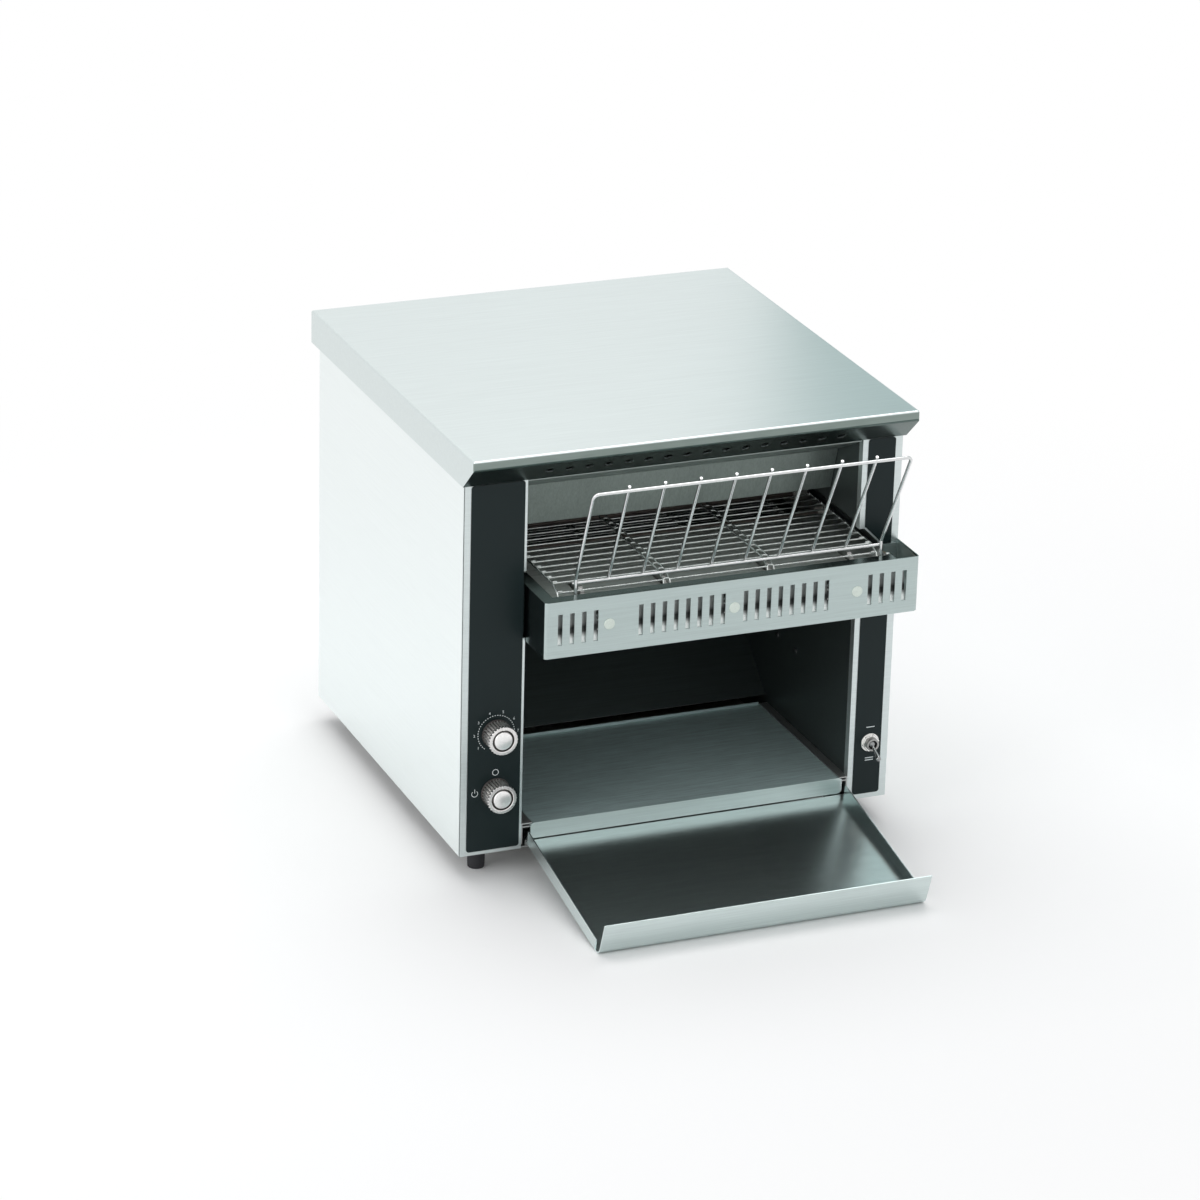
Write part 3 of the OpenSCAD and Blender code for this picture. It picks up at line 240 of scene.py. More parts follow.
def tones(tree, mask, stops):
    """Colours along a mask, from pairs of a place and a colour."""
    ramp = add_node(tree, "ValToRGB", {"Fac": mask})
    bar = ramp.color_ramp.elements
    while len(bar) < len(stops):
        bar.new(0.5)
    for stop, (at, colour) in zip(bar, stops):
        stop.position = at
        stop.color = (*colour, 1)
    return ramp.outputs["Color"]


def two_tone(tree, mask, colour, spread):
    """A colour that moves a little darker and lighter with a mask."""
    return tones(tree, mask, [(at, [min(c * k, 1) for c in colour])
                              for at, k in ((0, 1 - spread), (1, 1 + spread))])


def span(tree, mask, middle, swing):
    """A value that moves to both sides of a middle with a mask."""
    return out_of(tree, "MapRange",
                  {"Value": mask, "To Min": middle - swing, "To Max": middle + swing})


def bump(tree, height, strength, distance):
    return out_of(tree, "Bump", {"Height": height, "Strength": strength, "Distance": distance})


def brushed(name, colour, roughness, stretch, spread, swing=0.05, depth=0.25, metallic=1.0):
    """Metal with a grain; one number for the stretch gives a grain that runs no way."""
    if not isinstance(stretch, tuple):
        stretch = (stretch,) * 3
    tree, shader = blank(name)[1:]
    grain = add_node(tree, "Group", {"Stretch": stretch},
                     node_tree=built_once(brushed_grain)).outputs
    feed(tree, shader, {
        "Metallic": metallic,
        "Base Color": two_tone(tree, grain["Streaks"], colour, spread),
        "Roughness": span(tree, grain["Patches"], roughness, swing),
        "Normal": bump(tree, grain["Height"], depth, 0.1 * MM)})


def moulded(name, colour, roughness, grain_size=900, spread=0.08, depth=0.2, gloss=0.5, coat=0):
    """Plastic, paint, print, rubber or ceramic with small grains."""
    tree, shader = blank(name)[1:]
    grain = add_node(tree, "Group", {"Grain size": grain_size},
                     node_tree=built_once(moulded_grain)).outputs
    feed(tree, shader, {
        "Specular IOR Level": gloss, "Coat Weight": coat, "Coat Roughness": 0.25,
        "Base Color": two_tone(tree, grain["Cloud"], colour, spread),
        "Roughness": span(tree, grain["Cloud"], roughness, 0.06),
        "Normal": bump(tree, grain["Grain"], depth, 0.08 * MM)})


def backing_steel():
    """Painted reflection and shade in the base colour: bright at the slots' feet, dark over them and grey
    at the top, where a bent sheet would mirror the room.
    """
    tree, shader = blank("backing_steel")[1:]
    foot = node_box("shelf_bracket")[1][2] - SLOT_DROP
    place = out_of(tree, "TexCoord", output="Object")
    level = out_of(tree, "MapRange", {
        "Value": out_of(tree, "SeparateXYZ", {0: place}, "Z"),
        "From Min": spot(0, 0, foot - 1).z, "From Max": spot(0, 0, foot + 27).z})
    painted_reflection_greys = ((0.0, 1.0), (0.18, 1.0), (0.36, 0.08), (0.50, 0.05), (0.62, 0.34), (1.0, 0.62))
    stops = [(at, (grey * 0.96, grey, grey * 0.98)) for at, grey in painted_reflection_greys]
    feed(tree, shader, {"Metallic": 0.45, "Roughness": 0.45, "Base Color": tones(tree, level, stops)})


def finish(name):
    return bpy.data.materials[name]


# Mesh helpers


def outline_sheet(path, thickness):
    """Closed outline of a sheet that lies to the left of a path of 2D points."""
    sides = [(b - a).normalized().orthogonal() for a, b in zip(path, path[1:])]
    rim = [p + thickness * (a + b) / (1 + a.dot(b))
           for p, a, b in zip(path, sides[:1] + sides, sides + sides[-1:])]
    return path + rim[::-1]


def rounded_corner(a, p, b, radius, steps):
    """2D path from a to b whose corner at p is rounded."""
    ua, ub = (a - p).normalized(), (b - p).normalized()
    half = math.acos(ua.dot(ub)) / 2
    run = radius / math.tan(half)
    middle = p + (ua + ub).normalized() * (radius / math.sin(half))
    arm, stop = p + ua * run - middle, p + ub * run - middle
    bend = []
    for k in range(steps + 1):
        turn = -arm.angle_signed(stop) * k / steps
        c, s = math.cos(turn), math.sin(turn)
        bend.append(middle + Vector((c * arm.x - s * arm.y, s * arm.x + c * arm.y)))
    return [a, *bend, b]


def prism(bm, outline, axis, low, high):
    """Solid drawn from a closed outline along X (outline in Y, Z) or along Y (outline in X, Z)."""
    def at(p, t):
        return spot(t, p[0], p[1]) if axis == "X" else spot(p[0], t, p[1])

    a = [bm.verts.new(at(p, low)) for p in outline]
    b = [bm.verts.new(at(p, high)) for p in outline]
    count = len(outline)
    faces = [bm.faces.new(a), bm.faces.new(b[::-1])]
    for i in range(count):
        faces.append(bm.faces.new((a[i], b[i], b[(i + 1) % count], a[(i + 1) % count])))
    bmesh.ops.recalc_face_normals(bm, faces=faces)


def slab(bm, x, y, z):
    prism(bm, [(y[0], z[0]), (y[1], z[0]), (y[1], z[1]), (y[0], z[1])], "X", x[0], x[1])


def circle(bm, place, radius, height, count, start=0, lobes=0, depth=0, power=1):
    """Corners round a local Z axis, in millimetres; lobes are grooves as deep as a share of the radius."""
    corners = []
    for k in range(count):
        a = start + 2 * math.pi * k / count
        r = radius * (1 - depth * (0.5 - 0.5 * math.cos(a * lobes)) ** power)
        local = Vector((r * math.cos(a) * MM, r * math.sin(a) * MM, height * MM))
        corners.append(bm.verts.new(place @ local))
    return corners


def bridge(bm, lower, upper):
    """Faces between two rings of as many corners."""
    count = len(lower)
    return [bm.faces.new((lower[k], lower[(k + 1) % count], upper[(k + 1) % count], upper[k]))
            for k in range(count)]


def turned(bm, profile, place, steps=48, ends=True, grooved=(), groove=()):
    """Solid turned round a local Z axis from pairs of a radius and a height, some of them with grooves."""
    rings = [circle(bm, place, r, h, steps, 0, *(groove if i in grooved else ()))
             for i, (r, h) in enumerate(profile)]
    faces = []
    for lower, upper in zip(rings, rings[1:]):
        faces += bridge(bm, lower, upper)
    if ends:
        faces += [bm.faces.new(rings[0][::-1]), bm.faces.new(rings[-1])]
    bmesh.ops.recalc_face_normals(bm, faces=faces)


def facing_front(x, y, z):
    """Matrix whose local Z points out of the front, towards the user."""
    return Matrix.Translation(spot(x, y, z)) @ Matrix.Rotation(math.radians(90), 4, "X")


def add(name, data):
    """A new object in the scene."""
    made = bpy.data.objects.new(name, data)
    bpy.context.scene.collection.objects.link(made)
    return made


def evaluated(piece):
    """A new mesh of the piece as it is evaluated."""
    bpy.context.view_layer.update()
    return bpy.data.meshes.new_from_object(piece.evaluated_get(bpy.context.evaluated_depsgraph_get()))


def smooth(mesh, angle=32):
    mesh.shade_smooth()
    mesh.set_sharp_from_angle(angle=math.radians(angle))


def put(name, bm, material, angle=32):
    """A new piece from a bmesh, with one finish."""
    mesh = bpy.data.meshes.new(name)
    bm.to_mesh(mesh)
    bm.free()
    mesh.materials.append(finish(material))
    smooth(mesh, angle)
    return add(name, mesh)


def paint(piece, material, rule):
    """Gives one more finish to the faces for which rule(normal, x, y, z) holds, in millimetres."""
    piece.data.materials.append(finish(material))
    for face in piece.data.polygons:
        if rule(face.normal, *from_front(face.center)):
            face.material_index = len(piece.data.materials) - 1


def soften(piece, width=None, segments=2, angle=35):
    """Rounds a piece's sharp edges with a live Bevel modifier, as wide as the sheet's edges if not said."""
    width = width or bpy.context.scene.toaster_metal.edge_radius
    adjust(piece.modifiers.new("Deburred edges", "BEVEL"), width=width, segments=segments,
           limit_method="ANGLE", angle_limit=math.radians(angle), use_clamp_overlap=True)
    adjust(piece.modifiers.new("Flat faces", "WEIGHTED_NORMAL"), keep_sharp=True, weight=80)


def fit_in(piece, body, *nodes):
    """The piece rides on a body and stands for the CAD nodes."""
    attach(piece, body)
    if nodes:
        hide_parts(*nodes)
    return piece


def merged_copy(node):
    """The CAD node's mesh with its triangles joined into whole faces."""
    bm = bmesh.new()
    bm.from_mesh(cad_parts[node].data)
    bmesh.ops.remove_doubles(bm, verts=bm.verts, dist=2e-6)
    bmesh.ops.dissolve_limit(bm, angle_limit=math.radians(0.4), verts=bm.verts, edges=bm.edges,
                             use_dissolve_boundaries=False)
    return bm


def round_folds(bm, radius, segments, *lines):
    """Rounds the edges on lines of x, y and z, where None stands for the axis that a line runs along."""
    reach, edges = 0.12, []
    for line in lines:
        way = line.index(None)
        for edge in bm.edges:
            ends = [v.co for v in edge.verts]
            if abs((ends[1] - ends[0]).normalized()[way]) >= 0.999 and all(
                    want is None or abs(have - want) <= reach
                    for end in ends for have, want in zip(from_front(end), line)):
                edges.append(edge)
    bmesh.ops.bevel(bm, geom=edges, offset=radius, offset_type="OFFSET", segments=segments,
                    profile=0.5, affect="EDGES", clamp_overlap=True)


# Geometry Nodes trees


def coat_and_close(tree, geometry, given, out):
    """Ends a tree in Realize Instances and Set Material."""
    real = out_of(tree, "RealizeInstances", {"Geometry": geometry})
    coat = out_of(tree, "SetMaterial", {"Geometry": real, "Material": given["Finish"]})
    feed(tree, out, {"Geometry": coat})
    return tree


def round_wire(name):
    """Round wire along every edge path of a mesh, with rounded bends."""
    tree, given, out = new_tree(
        name, "GeometryNodeTree",
        [("Geometry", "Geometry"), ("Thickness", "Float", 0.003), ("Bend radius", "Float", 0.005),
         ("Bend steps", "Int", 5), ("Sides", "Int", 12), ("Finish", "Material")],
        [("Geometry", "Geometry")])
    path = out_of(tree, "MeshToCurve", {"Mesh": given["Geometry"]})
    bend = out_of(tree, "FilletCurve", {
        "Curve": path, "Radius": given["Bend radius"], "Count": given["Bend steps"], "Limit Radius": True},
        mode="POLY")
    half = out_of(tree, "ShaderNodeMath", {0: given["Thickness"], 1: 0.5}, operation="MULTIPLY")
    ring = out_of(tree, "CurvePrimitiveCircle", {"Resolution": given["Sides"], "Radius": half})
    sweep = out_of(tree, "CurveToMesh",
                   {"Curve": bend, "Profile Curve": ring, "Fill Caps": True})
    return coat_and_close(tree, sweep, given, out)


def set_out_copies(name):
    """One object at every vertex of a mesh, turned by the vertex's own turn."""
    tree, given, out = new_tree(
        name, "GeometryNodeTree",
        [("Geometry", "Geometry"), ("Pattern piece", "Object"), ("Size", "Float", 1.0),
         ("Finish", "Material")],
        [("Geometry", "Geometry")])
    piece = out_of(tree, "ObjectInfo", {"Object": given["Pattern piece"]}, "Geometry")
    turn = out_of(tree, "InputNamedAttribute", {"Name": "turn"}, "Attribute",
                  data_type="FLOAT_VECTOR")
    spin = out_of(tree, "FunctionNodeEulerToRotation", {0: turn})
    lay = out_of(tree, "InstanceOnPoints", {
        "Points": given["Geometry"], "Instance": piece, "Rotation": spin, "Scale": given["Size"]})
    return coat_and_close(tree, lay, given, out)


def run_tree(piece, tree, values, angle=32):
    """Evaluates a Geometry Nodes tree on a piece and keeps the result as its plain mesh."""
    mod = piece.modifiers.new(tree.name, "NODES")
    mod.node_group = tree
    for item in tree.interface.items_tree:
        if item.item_type == "SOCKET" and item.in_out == "INPUT" and item.name in values:
            mod[item.identifier] = values[item.name]
    result = evaluated(piece)
    piece.modifiers.clear()
    old = piece.data
    piece.data = result
    result.name = piece.name
    bpy.data.meshes.remove(old)
    smooth(result, angle)
    return piece


def wire_piece(name, paths, thickness, material, bend, sides, steps):
    """Wire along open paths, each a list of places."""
    mesh = bpy.data.meshes.new(name)
    verts, edges = [], []
    for path in paths:
        first = len(verts)
        verts += [tuple(p) for p in path]
        edges += [(first + i, first + i + 1) for i in range(len(path) - 1)]
    mesh.from_pydata(verts, edges, [])
    values = {"Thickness": thickness, "Bend radius": bend, "Sides": sides, "Bend steps": steps,
              "Finish": finish(material)}
    return run_tree(add(name, mesh), built_once(round_wire), values, 60)


def set_out(name, pattern, places, turns, material, angle=32):
    """Copies of a pattern piece at places, each turned by three angles; the pattern is then removed."""
    mesh = bpy.data.meshes.new(name)
    mesh.from_pydata([tuple(p) for p in places], [], [])
    turn = mesh.attributes.new("turn", "FLOAT_VECTOR", "POINT")
    turn.data.foreach_set("vector", [v for t in turns for v in t])
    piece = run_tree(add(name, mesh), built_once(set_out_copies),
                     {"Pattern piece": pattern, "Finish": finish(material)}, angle)
    # The pattern's object goes with its mesh
    bpy.data.meshes.remove(pattern.data)
    return piece


# Operators, one for each piece or group of like pieces


class ToasterStep(bpy.types.Operator):
    bl_options = {"REGISTER", "UNDO"}


class TOASTER_OT_finishes(ToasterStep):
    """Make every finish that the pieces use"""
    bl_idname = "toaster.finishes"
    bl_label = "Finishes"

    def execute(self, context):
        metal, control = context.scene.toaster_metal, context.scene.toaster_control
        steel, rough, rolled, drawn = metal.steel, metal.steel_roughness, (5, 320, 320), (14, 330, 330)
        brushed("satin_steel", steel, rough, rolled, 0.05, 0.02, 0.25, 0.82)
        brushed("bracket_steel", (0.475, 0.555, 0.545), rough, rolled, 0.05, 0.02, 0.25, 0.82)
        brushed("cover_steel", steel, rough, (6, 240, 240), 0.03, 0.015)
        # Painted shade: the hood's underside and its front strip are the cover's steel, coloured darker for
        # the shade and dark reflections they get
        brushed("hood_steel", (0.095, 0.13, 0.12), rough - 0.06, rolled, 0.05, 0.02)
        brushed("strip_steel", (0.24, 0.29, 0.27), rough, rolled, 0.05, 0.02)
        # Painted shade: the bracket's top flange and left end are its own steel, coloured darker for the
        # dark reflection they show
        brushed("flange_steel", (0.17, 0.215, 0.21), rough - 0.08, rolled, 0.06, 0.02)
        # Painted light: the front faces of the deck's and tray's lips are their own steel, coloured lighter
        # where the light falls
        brushed("lip_steel", (0.68, 0.76, 0.75), rough, rolled, 0.05, 0.02)
        brushed("side_steel", (0.85, 0.90, 0.895), rough + 0.05, (600, 5, 600), 0.02, 0.01, 0.1)
        brushed("deck_steel", (0.54, 0.68, 0.67), 0.40, drawn, 0.16, 0.01, 0.5, 0.32)
        brushed("tray_steel", (0.56, 0.645, 0.64), rough - 0.07, drawn, 0.08, 0.01, 0.35, 0.98)
        brushed("galvanised", (0.47, 0.49, 0.48), 0.42, 60, 0.12)
        brushed("inner_sheet", metal.dark, 0.36, rolled, 0.12, 0.02, 0.15, 0.5)
        brushed("support_sheet", (0.50, 0.52, 0.50), 0.30, rolled, 0.2, 0.08, 0.25, 0.8)
        brushed("reflector_sheet", (0.40, 0.46, 0.44), 0.30, (300, 300, 6), 0.12, 0.05, 0.25, 0.85)
        brushed("bright_wire", context.scene.toaster_wire.wire_colour, 0.20, 90, 0.08)
        brushed("belt_wire", (0.72, 0.76, 0.74), 0.24, 120, 0.2, 0.05, 0.25, 0.9)
        brushed("turned_steel", (0.40, 0.40, 0.39), 0.34, (400, 60, 60), 0.1)
        brushed("bronze", (0.52, 0.35, 0.18), 0.42, 90, 0.12)
        brushed("polished", (0.82, 0.82, 0.80), 0.13, 60, 0.03, 0.05, 0.08)
        # Painted reflection: the toggle's chrome, coloured darker for the dark surroundings it mirrors
        brushed("dark_chrome", (0.30, 0.31, 0.31), 0.10, 60, 0.03, 0.05, 0.08)
        brushed("cap_metal", (0.92, 0.91, 0.90), 0.30, 260, 0.06)
        brushed("ring_metal", (0.82, 0.80, 0.79), 0.28, 200, 0.08)
        brushed("grip_metal", control.grip, 0.33, 120, 0.1)
        brushed("rivet_steel", (0.68, 0.75, 0.69), 0.42, 200, 0.05, 0.05, 0.25, 0.6)
        brushed("heater_sheath", (0.22, 0.17, 0.14), 0.55, 60, 0.25)
        moulded("panel_print", control.panel, 0.36, 1400, 0.08, 0.12, 0.22)
        moulded("marks", control.print_colour, 0.55, 1400, 0.04, 0.05)
        # Painted shade for the shadow gap between a bezel and the side panel
        moulded("seam_dark", (0.010, 0.012, 0.012), 0.5)
        moulded("black_plastic", (0.022, 0.023, 0.025), 0.45)
        # Painted shade in the knobs' grooves and recesses
        moulded("grip_groove", (0.05, 0.045, 0.042), 0.5)
        moulded("dark_screw", (0.03, 0.034, 0.034), 0.4, 900, 0.08, 0.2, 0.6)
        moulded("foot_rubber", (0.016, 0.017, 0.018), 0.62, 1200, 0.08, 0.4)
        moulded("ceramic", (0.70, 0.67, 0.60), 0.42, 700, 0.08, 0.2, 0.5, 0.3)
        moulded("motor_paint", (0.035, 0.038, 0.042), 0.38, 800, 0.08, 0.2, 0.5, 0.2)
        moulded("board", (0.02, 0.11, 0.05), 0.4, 1400, 0.08, 0.2, 0.5, 0.4)
        backing_steel()
        return {"FINISHED"}


def seen_white(tree):
    """Is one for the rays that see the background: from the camera, off gloss and through glass."""
    ray = add_node(tree, "LightPath").outputs
    mask = ray["Is Camera Ray"]
    for name in ("Is Glossy Ray", "Is Transmission Ray"):
        mask = out_of(tree, "Math", {0: mask, 1: ray[name]}, operation="MAXIMUM")
    return mask


def one_face(name, corners, mat):
    mesh = bpy.data.meshes.new(name)
    mesh.from_pydata(corners, [], [(0, 1, 2, 3)])
    mesh.materials.append(mat)
    return add(name, mesh)


def softbox(name, place, aim, width, height, power):
    lamp = adjust(bpy.data.lights.new(name, "AREA"), shape="RECTANGLE", size=width, size_y=height,
                  energy=power)
    turn = (Vector(aim) - Vector(place)).to_track_quat("-Z", "Y").to_euler()
    adjust(add(name, lamp), location=place, rotation_euler=turn)


class TOASTER_OT_stage(ToasterStep):
    """Set the camera, the floor, the softboxes and the world"""
    bl_idname = "toaster.stage"
    bl_label = "Camera, floor and lights"

    def execute(self, context):
        scene, values = context.scene, context.scene.toaster_stage
        scene.view_settings.view_transform = "Standard"

        # The camera's turn round the object, its height over it and its roll
        around, above, roll = (math.radians(v) for v in (-22.5887, 22.0279, 1.5247))
        lens = adjust(bpy.data.cameras.new("camera"), lens=143.68, sensor_width=36, clip_end=60)
        camera = add("camera", lens)
        camera.matrix_world = (
            Matrix.Translation((-1.5536, -3.6494, 1.8029)) @ Matrix.Rotation(around, 4, "Z")
            @ Matrix.Rotation(math.pi / 2 - above, 4, "X") @ Matrix.Rotation(roll, 4, "Z"))
        scene.camera = camera

        # The floor fades to white away from the object, for the rays that see the background
        mat, tree, shader = blank("pale_floor")
        feed(tree, shader, {"Base Color": (*values.floor, 1), "Roughness": 0.9, "Specular IOR Level": 0.1})
        glow = out_of(tree, "Emission", {"Color": (1, 1, 1, 1), "Strength": 1.0})
        place = out_of(tree, "TexCoord", output="Object")
        away = out_of(tree, "VectorMath", {0: place}, "Value", operation="LENGTH")
        fade = out_of(tree, "MapRange", {"Value": away, "From Min": 0.40, "From Max": 1.25},
                      interpolation_type="SMOOTHSTEP")
        share = out_of(tree, "Math", {0: seen_white(tree), 1: fade}, operation="MULTIPLY")
        blend = out_of(tree, "MixShader", {"Fac": share, 1: shader.outputs["BSDF"], 2: glow})
        feed(tree, tree.nodes["Material Output"], {"Surface": blend})
        reach = 30.0
        corners = [(x * reach, y * reach, 0) for x, y in ((-1, -1), (1, -1), (1, 1), (-1, 1))]
        one_face("floor", corners, mat)

        softbox("overhead_softbox", (0.1, 0.5, 2.4), (0, 0, 0.2), 2.6, 2.2, values.key_power)
        softbox("left_softbox", (-2.6, -0.9, 1.3), (0, 0, 0.15), 1.6, 1.8, values.fill_power)

        # A grey card at the back right that only gloss sees shades the cover's reflections
        mat, tree, shader = blank("card_grey")
        tone = out_of(tree, "Emission", {"Color": (0.42, 0.53, 0.53, 1)})
        feed(tree, tree.nodes["Material Output"], {"Surface": tone})
        corners = ((0.62, 1.05, 0.45), (1.9, 0.2, 0.45), (1.9, 0.2, 1.6), (0.62, 1.05, 1.6))
        card = one_face("grey_card", corners, mat)
        for way in ("camera", "diffuse", "shadow", "transmission", "volume_scatter"):
            setattr(card, "visible_" + way, False)

        scene.world = bpy.data.worlds.new("studio")
        scene.world.use_nodes = True
        tree = scene.world.node_tree
        ambient = tree.nodes["Background"]
        feed(tree, ambient, {"Color": (0.93, 0.97, 1.0, 1), "Strength": 0.62})
        white = out_of(tree, "Background", {"Color": (1, 1, 1, 1), "Strength": 1.0})
        mix = out_of(tree, "MixShader",
                     {"Fac": seen_white(tree), 1: ambient.outputs["Background"], 2: white})
        feed(tree, tree.nodes["World Output"], {"Surface": mix})
        return {"FINISHED"}


# The CAD nodes that keep their own mesh, by finish and by the width of their rounded edges in millimetres
KEPT = {
    "side_steel": {0.3: "left_side_panel right_side_panel"},
    "satin_steel": {0: "rear_panel", 0.2: "rack_clips", 0.25: "left_bezel right_bezel"},
    "galvanised": {0: "base_pan crumb_shield heat_shield conveyor_plates", 0.2: "deck_guides"},
    "inner_sheet": {0: "left_chamber_wall", 0.3: "right_chamber_wall toast_chute"},
    "reflector_sheet": {0: "reflector_ceiling", 0.4: "reflector_front"},
    "support_sheet": {0.2: "belt_support_plate"},
    "heater_sheath": {0: "heating_elements"},
    "ceramic": {0.5: "heater_holders"},
    "bronze": {0.3: "shaft_bearings"},
    "motor_paint": {0.6: "gearmotor"},
    "board": {0: "control_board"},
    "polished": {0.3: "foot_screws"},
    "panel_print": {0.15: "left_control_panel right_control_panel"},
    "black_plastic": {0: "fan_rotor", 0.4: "rotary_switch cable_gland", 0.5: "fan_housing contactor"},
    "turned_steel": {
        0: "drive_chain drive_sprockets nose_sprockets driven_chain_sprocket motor_chain_sprocket "
           "speed_spindle power_spindle",
        0.2: "toggle_body", 0.3: "speed_potentiometer", 0.4: "conveyor_spacers drive_shaft nose_shaft"},
}


class TOASTER_OT_kept_solids(ToasterStep):
    """Give the CAD nodes that stay their finish and rounded edges"""
    bl_idname = "toaster.kept_solids"
    bl_label = "Plain solids"

    def execute(self, context):
        rows = [(material, width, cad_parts[node]) for material, widths in KEPT.items()
                for width, nodes in widths.items() for node in nodes.split()]
        for material, width, piece in rows:
            piece.data.materials.clear()
            piece.data.materials.append(finish(material))
            for face in piece.data.polygons:
                face.material_index = 0
            if width:
                adjust(piece.modifiers.new("Joined corners", "WELD"), merge_threshold=2e-6)
                adjust(piece.modifiers.new("Whole faces", "DECIMATE"), decimate_type="DISSOLVE",
                       angle_limit=math.radians(0.5))
                soften(piece, width * MM, 2, 40)
        # Painted shade on each bezel's outer side face, for the shadow gap at the side panel
        for corner, node in enumerate(("left_bezel", "right_bezel")):
            edge = node_box(node)[corner][0]
            paint(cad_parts[node], "seam_dark",
                  lambda n, x, y, z: abs(n.x) > 0.9 and abs(x - edge) < 0.2)
        return {"FINISHED"}


class TOASTER_OT_cover(ToasterStep):
    """Fold the cover with its hood from the CAD node"""
    bl_idname = "toaster.cover"
    bl_label = "Cover and hood"

    def execute(self, context):
        fold = context.scene.toaster_metal.fold_radius
        (left, front, _), (right, back, top) = node_box("top_cover")
        strip_height, hood_depth = 8.7, 14
        bm = merged_copy("top_cover")
        round_folds(bm, fold, 4, (left, None, top), (right, None, top), (None, front, top),
                    (None, back, top), (None, front, top - strip_height), (left, front, None),
                    (right, front, None))
        piece = put("cover_with_hood", bm, "cover_steel")

        # Painted shade: faces under the hood and the hood's front strip get darker copies of the cover's
        # steel
        def under_hood(n, x, y, z):
            return y < hood_depth and z < top - 1.5 and n.y + n.z < -0.3

        paint(piece, "hood_steel", under_hood)
        paint(piece, "strip_steel", lambda n, x, y, z: under_hood(n, x, y, z) and n.z >= -0.3)
        soften(piece)
        fit_in(piece, "housing", "top_cover")
        return {"FINISHED"}


class TOASTER_OT_bracket(ToasterStep):
    """Fold the slotted shelf bracket and set its rivets"""
    bl_idname = "toaster.bracket"
    bl_label = "Shelf bracket"

    def execute(self, context):
        metal = context.scene.toaster_metal
        (left, front, _), (right, _, top) = node_box("shelf_bracket")
        bm = merged_copy("shelf_bracket")
        round_folds(bm, metal.fold_radius * 1.3, 5, (left, front, None), (right, front, None))
        round_folds(bm, metal.fold_radius * 0.35, 3, (None, front, top), (left, None, top))
        bmesh.ops.connect_verts_concave(bm, faces=bm.faces)
        piece = put("slotted_bracket", bm, "bracket_steel")
        # Painted shade on the bracket's top flange and its left end face
        paint(piece, "flange_steel", lambda n, x, y, z: (
            (n.z > 0.9 and z > top - 0.3) or (n.x < -0.9 and x < left + 0.2)))
        soften(piece, metal.edge_radius * 0.7)
        fit_in(piece, "housing", "shelf_bracket")

        # Backing sheets behind the groups of slots, which the rivets hold: their side view behind the
        # plate and over the slots' feet, and for each group its count and its first slot from the middle
        bm = bmesh.new()
        middle, pitch, width = (left + right) / 2, 11, 4.2
        outline = [(front + SHEET + y, top - SLOT_DROP + z) for y, z in (
            (-0.1, -3.5), (0.5, -3.5), (0.6, -1.2), (1.7, 0.5), (3.0, 7.0),
            (6.6, 29.5), (5.9, 29.6), (2.3, 7.2), (1.0, 1.0), (-0.1, -0.9))]
        for count, first in ((8, 10.6), (4, 129.2)):
            for side in (-1, 1):
                ends = sorted((middle + side * first, middle + side * (first + (count - 1) * pitch)))
                prism(bm, outline, "X", ends[0] - width / 2 - 0.8, ends[1] + width / 2 + 0.4)
        # The backing sheets carry a painted reflection and shade: bright at the slots' feet, dark over
        # them, grey at the top
        fit_in(put("slot_backing", bm, "backing_steel", 50), "housing", "shelf_bracket")

        (left, front, low), (right, _, top) = node_box("bracket_rivets")
        radius, head = 5.0, 0.9
        bm = bmesh.new()
        turned(bm, [(2.0, -2.4), (2.0, 0), (radius, 0), (radius, 0.45), (4.7, 0.78), (3.9, head),
                    (0.4, head)], Matrix.Identity(4), 32)
        places = [spot(x, front + head, (low + top) / 2)
                  for x in (left + radius, (left + right) / 2, right - radius)]
        rivets = set_out("bracket_rivet_heads", put("rivet_pattern", bm, "rivet_steel"), places,
                         [(math.radians(90), 0, 0)] * 3, "rivet_steel")
        fit_in(rivets, "housing", "bracket_rivets")
        return {"FINISHED"}


